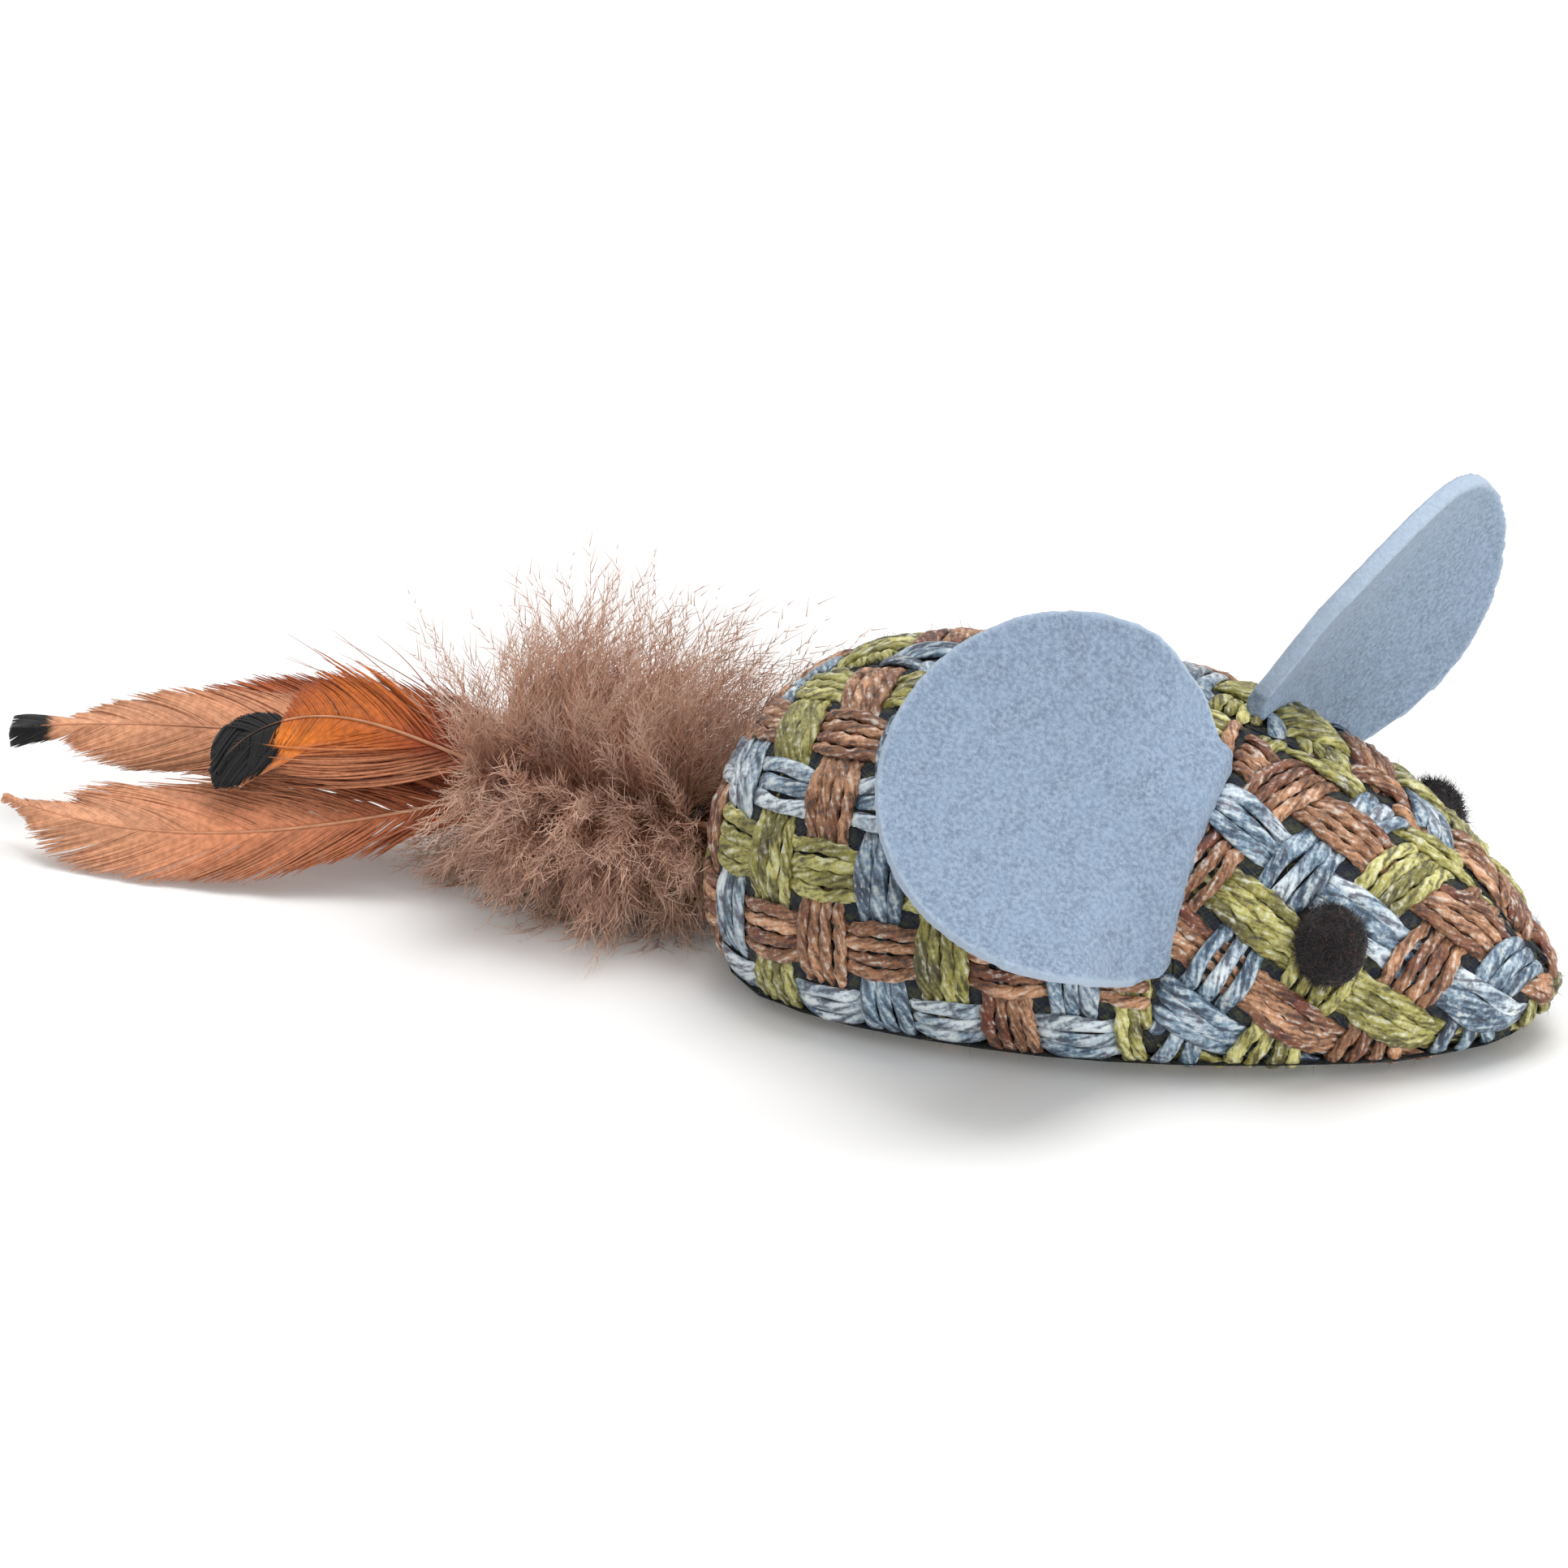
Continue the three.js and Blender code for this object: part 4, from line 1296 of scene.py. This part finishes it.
def fill_heart(strands, feather):
    """The heart's own barbs lie close over each other, so its black is solid."""
    run, offset = np.linspace(-5, 5, 121), np.linspace(-4.2, 4.2, 84)
    ahead, sideways = np.array([0.37, -0.93]), np.array([0.93, 0.37])
    away = offset[:, None, None] * sideways + run[:, None] * ahead
    inside = np.linalg.norm(away, axis=-1) < heart_edge(away)
    offset, inside = offset[inside.any(1), None], inside[inside.any(1)]
    start = run[inside.argmax(1)][:, None] + rng.normal(0, 0.08, offset.shape)
    end = run[len(run) - 1 - inside[:, ::-1].argmax(1)][:, None] + rng.normal(0, 0.08, offset.shape)
    run = start + (end - start) * along_barb
    drift = offset + 0.1 * np.sin(run * 0.9 + offset)
    flat = heart_middle + drift[..., None] * sideways + run[..., None] * ahead
    crown = 0.35 + 0.06 * (drift ** 2 + run ** 2) ** 0.5
    level = feather.level - crown + rng.normal(0, 0.05, offset.shape)
    taper = 1.35 - 0.8 * along_barb ** 6 + 0 * offset
    strands.add(lift(flat, level), tail_axes[2], 0.1 * taper, 0.04 * taper, soot)


def add_wisps(strands, feather, wisps=14):
    """A few long barbs have come loose and stand off above the vane."""
    start = rng.normal((29, 7), (2.5, 0.7), (wisps, 2))
    end = rng.normal((43, 12.5), (3, 1.6), (wisps, 2))
    flat = start[:, None] + (end - start)[:, None] * along_barb[..., None]
    flat[..., 1] += 1.1 * np.sin(math.pi * along_barb) * rng.uniform(-0.2, 1, (wisps, 1))
    level = feather.level + rng.normal(0, 0.7, (wisps, 1)) * along_barb
    taper = 1.15 - along_barb + np.zeros((wisps, 1))
    strands.add(lift(flat, level), tail_axes[2], 0.07 * taper, 0.03 * taper, copper_red * 0.8)


def grow_vane(feather):
    strands = Strands(4)
    for side in (-1, 1):
        add_side(strands, feather, side)
    if feather.name == "heart_feather":
        fill_heart(strands, feather)
    if feather.name == "upper_feather":
        add_wisps(strands, feather)
    return strands


# %% [markdown]
# ## The down
# Near its base a feather has no hooks, and its barbs are long, soft and branched. Those next
# to the body curl back over the binding, and further out they lean towards the tip. Each barb
# is a fine curved stem with many short barbules. Nothing but thousands of real fibres gives
# that soft edge, so each barbule is a three-sided strand of a few faces. Where the down meets
# the mouse it is pressed flat against the cloth.

# %% Paths of the down's barbs
locks, barbs_in_lock = 88, 8
down_places = [5, 12, 20, 27]  # along the tail
down_above = [17, 20, 16, 11.5]
down_below = [12, 10.5, 9, 7]
first_lock, last_lock, last_top_lock = -0.2, 0.86, 0.78  # shares of the quill in the down
down_slants, down_slant_drop = (112, 120), 34  # degrees from the quill, above and below it
ring_end = 8.6  # the locks before it stand all round
upright_share, top_upright_share, stray_share = 0.2, 0.34, 0.035
floor_gap, stem_gap, barbule_gap = 0.15, 0.9, 0.6


def clear_of_body(points, gap):
    """Presses points out of the body's rear end, and off the floor."""
    rise = points[..., 2] - rear_level
    power = np.where(rise > 0, crown_power, belly_power)
    deep = np.where(rise > 0, body_height - rear_level, belly_depth)
    section = np.abs(points[..., 1] / (body_width / 2)) ** power + np.abs(rise / deep) ** power
    share = 1 - (1 - np.clip(section, 0, 1) ** (rear_power / power)) ** (1 / rear_power)
    surface = rear_x + body_length * widest_share * share
    out = points.copy()
    out[..., 0] = np.where(section < 1, np.minimum(points[..., 0], surface - gap), points[..., 0])
    out[..., 2] = np.maximum(points[..., 2], floor_gap)
    return out


def spread(values, scatter):
    """Gives each barb its lock's value, give or take the scatter."""
    return np.repeat(values, barbs_in_lock) + rng.normal(0, scatter, locks * barbs_in_lock)


def down_paths(feather):
    """Barbs grow in locks, which share a heading and a length. Also tells which are stray."""
    on_top = feather.name == "heart_feather"
    share = np.linspace(first_lock, last_top_lock if on_top else last_lock, locks)
    share = spread(share, 0.02).clip(first_lock, 0.9)
    inner = np.clip(share, 0, 1)
    side = np.repeat(np.where(np.arange(locks) * 0.57 % 1 < 0.57, 1.0, -1.0), barbs_in_lock)
    a, b, slope = feather.on_quill(inner)
    a = a + (share - inner) * (down_end - down_start)
    above, below = (np.interp(a, down_places, width) for width in (down_above, down_below))
    slant = np.where(side > 0, *down_slants) - down_slant_drop * inner
    slant = np.radians(slant + spread(rng.normal(0, 11, locks), 5))
    length = (np.where(side > 0, above, below) - side * b) / np.maximum(np.sin(slant), 0.7)
    length *= spread(rng.uniform(0.84, 1.06, locks), 0.08)
    outward = (feather.place - stack_middle) * 0.2
    climb = spread(rng.normal(outward, 0.4, locks), 0.09)
    upright = rng.random(locks) < (top_upright_share if on_top else upright_share)
    upright = np.repeat(upright, barbs_in_lock)
    climb = np.where(upright, climb * 0.3 + math.copysign(0.9, outward), climb)
    length = np.where(upright, length * 0.5, length)
    # The first locks stand all round and hide the binding.
    first = a < ring_end
    climb = np.where(first, spread(rng.uniform(-1.3, 1.3, locks), 0.15), climb)[:, None]
    length = np.where(first, length * 0.72, length)
    stray = rng.random(len(a)) < stray_share
    length = np.where(stray, length * 1.25, length)
    bow = spread(rng.normal(0.1, 0.42, locks), 0.1)[:, None] * along_barb
    heading = slope[:, None] + side[:, None] * (slant[:, None] - bow)
    climb = climb + spread(rng.normal(0, 0.45, locks), 0.12)[:, None] * along_barb
    flat = np.cos(climb)
    way = np.stack([np.cos(heading) * flat, np.sin(heading) * flat, np.sin(climb)], -1)
    step = (length / (barb_stations - 1))[:, None, None]
    start = np.stack([a, b, feather.level_at(a)], -1)[:, None]
    still = np.zeros((len(a), 1, 3))
    line = start + np.concatenate([still, np.cumsum(step * way[:, 1:], 1)], 1)
    return clear_of_body(tail_point(line), stem_gap), stray


# %% Stems and barbules
barbules = 20
stem_radius, barbule_radius = 0.05, 0.037
down_tones = [np.array(shade(*c)) for c in ((206, 152, 122), (226, 176, 148), (230, 196, 174))]


def add_barbules(strands, stems, hue, stray):
    """Barbules stand on alternate sides of each stem and lean towards its tip."""
    dark, brown, pale = down_tones
    places = np.arange(barbules)
    spot = (places + 0.5) / barbules * 0.96 + 0.04
    spot = np.clip(spot + rng.normal(0, 0.01, (len(stems), barbules)), 0, 1)
    foot, onward = along_paths(stems, spot * (barb_stations - 1))
    ahead = unit(onward)
    flank = unit(np.cross(ahead, unit(rng.normal(0, 0.8, ahead.shape) + tail_axes[2])))
    flip = np.where(places % 2, 1.0, -1.0)[None, :, None]
    lean = unit(ahead * rng.uniform(1.1, 2.6, spot.shape)[..., None] + flank * flip)
    reach = rng.uniform(1.2, 2.7, spot.shape) * np.where(stray, 0.4, 1.08)[:, None]
    reach = (reach * (1 - 0.16 * spot))[..., None]
    bend = rng.normal(0, 0.22, ahead.shape)
    foot, lean, reach, bend = (v.reshape(-1, 1, v.shape[-1]) for v in (foot, lean, reach, bend))
    r = np.linspace(0, 1, 3)[None, :, None]
    lines = clear_of_body(foot + reach * (r * lean + r ** 2 * bend * 0.45), barbule_gap)
    tone = (hue + smooth(spot * 1.2) + rng.normal(0, 0.15, spot.shape)).reshape(-1, 1, 1)
    tint = dark + np.clip(tone * 1.6, 0, 1) * (brown - dark)
    tint = tint + np.clip(tone * 1.4 - 0.7, 0, 1) * (pale - brown)
    radius = barbule_radius * (1.2 - 0.9 * r[..., 0])
    strands.add(lines, np.array([0.2, 0.3, 0.93]), radius, radius, tint)


def grow_down(feather):
    """The down's stems, and the barbules that stand on them."""
    stems, fluff = Strands(3), Strands(3)
    paths, stray = down_paths(feather)
    dark, brown, _ = down_tones
    hue = spread(rng.normal(0, 0.22, locks), 0.08)[:, None]
    tone = np.clip(hue + smooth(along_barb * 1.5), 0, 1)[..., None]
    radius = stem_radius * (1.1 - along_barb)
    stems.add(paths, tail_axes[2], radius, radius, dark + tone * (brown - dark))
    add_barbules(fluff, paths, hue, stray)
    return stems, fluff


# %% [markdown]
# ## The four feathers
# A fine grain streaks the barbs, which are a little glossy. Down is dull and soft. Each
# feather gets its shaft, its vane and its down, and fans about the binding.

# %% Barb and down finishes
barb = Finish("copper_barb", Roughness=0.5, Sheen_Weight=0.06, Specular_IOR_Level=0.3)
grain = barb.noise(1800.0, 3.0)
barb_tint = barb.attribute("tint")
deep_tint = barb.mix(1.0, barb_tint, (0.74, 0.7, 0.66), "MULTIPLY")
barb.feed("Base Color", barb.mix(grain.between(0.3, 0.7), barb_tint, deep_tint))
barb.bump(grain, 0.3, 0.05 * MM)
soft = Finish("brown_down", Roughness=0.9, Sheen_Weight=0.15)
mottle = soft.noise(260.0).between(0.35, 0.7) * 0.3
soft.feed("Base Color", soft.mix(mottle, soft.attribute("tint"), shade(182, 136, 114)))

# %% Make the four feathers
for name in feathers:
    feather = Feather(name)
    add_shaft(feather)
    vane = grow_vane(feather).make(name)
    dress(vane, name + "_barbs", barb, name, [name + "_vane"])
    stems, fluff = grow_down(feather)
    dress(fluff.make(name), name + "_fluff", soft, name, [name + "_down"])
    dress(stems.make(name), name + "_down_stems", soft, name)

# %% [markdown]
# ## Floor and light
# A pale floor catches a soft shadow. A large softbox stands above and a little behind, and a
# smaller one low on the nose's side. An even white world fills the shadows. For rays that
# come straight from the camera the floor adds a little light of its own, so that the paper
# reads white while its shadow stays.

# %% Floor
bpy.ops.object.select_all(action="DESELECT")
bpy.ops.mesh.primitive_plane_add(size=6, location=(0, 0, 0))
floor = bpy.context.object
floor.name = "floor"
paper = Finish("floor_paper", Roughness=0.9, Specular_IOR_Level=0.1)
paper.feed("Base Color", paper.mix(paper.noise(3.0), (0.86, 0.855, 0.85), (0.88, 0.875, 0.87)))
# The softboxes don't reach the far floor, which glows more instead.
x, y, _ = paper.parts(paper.place())
far = (x * x + y * y).math("SQRT").between(0.3, 1.3)
glow = paper.mix(far, (0.05, 0.05, 0.047), (0.6, 0.6, 0.6))
paper.feed("Emission Color", paper.mix(paper.direct_rays(), (0, 0, 0), glow))
paper.feed("Emission Strength", 1.0)
floor.data.materials.append(paper.material)
floor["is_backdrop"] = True

# %% Softboxes and world
aim = Vector((0, 0, 0.01))
for location, size, energy in (((0.1, 0.26, 1.1), 0.8, 8.6), ((0.9, -0.5, 0.12), 0.5, 6.0)):
    bpy.ops.object.light_add(type="AREA", location=location)
    softbox = bpy.context.object
    softbox.data.size = size
    softbox.data.energy = energy
    softbox.rotation_euler = (aim - softbox.location).to_track_quat("-Z", "Y").to_euler()


class Air(Finish):
    """The world behind everything, wired in the same way as a material."""

    def __init__(self, name):
        self.world = bpy.data.worlds.new(name)
        self.world.use_nodes = True
        self.tree = self.world.node_tree
        self.shader = self.tree.nodes["Background"]


air = Air("studio")
fill_strength = 0.64  # on what it lights. It shows with a strength of 1.
air.feed("Color", (1, 1, 1))
air.feed("Strength", air.direct_rays() * (1 - fill_strength) + fill_strength)
bpy.context.scene.world = air.world
bpy.context.scene.view_settings.view_transform = "Standard"

# %% [markdown]
# ## The two boxes
# The two boxes are printed, so that the dressed toy can be compared with the CAD model.

# %% Sizes and finish
dressed_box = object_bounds()
sizes = {"cad": [list(v) for v in cad_box], "visual": [list(v) for v in dressed_box]}
for name, box in sizes.items():
    print(name, [round(1000 * v, 1) for corner in box for v in corner])
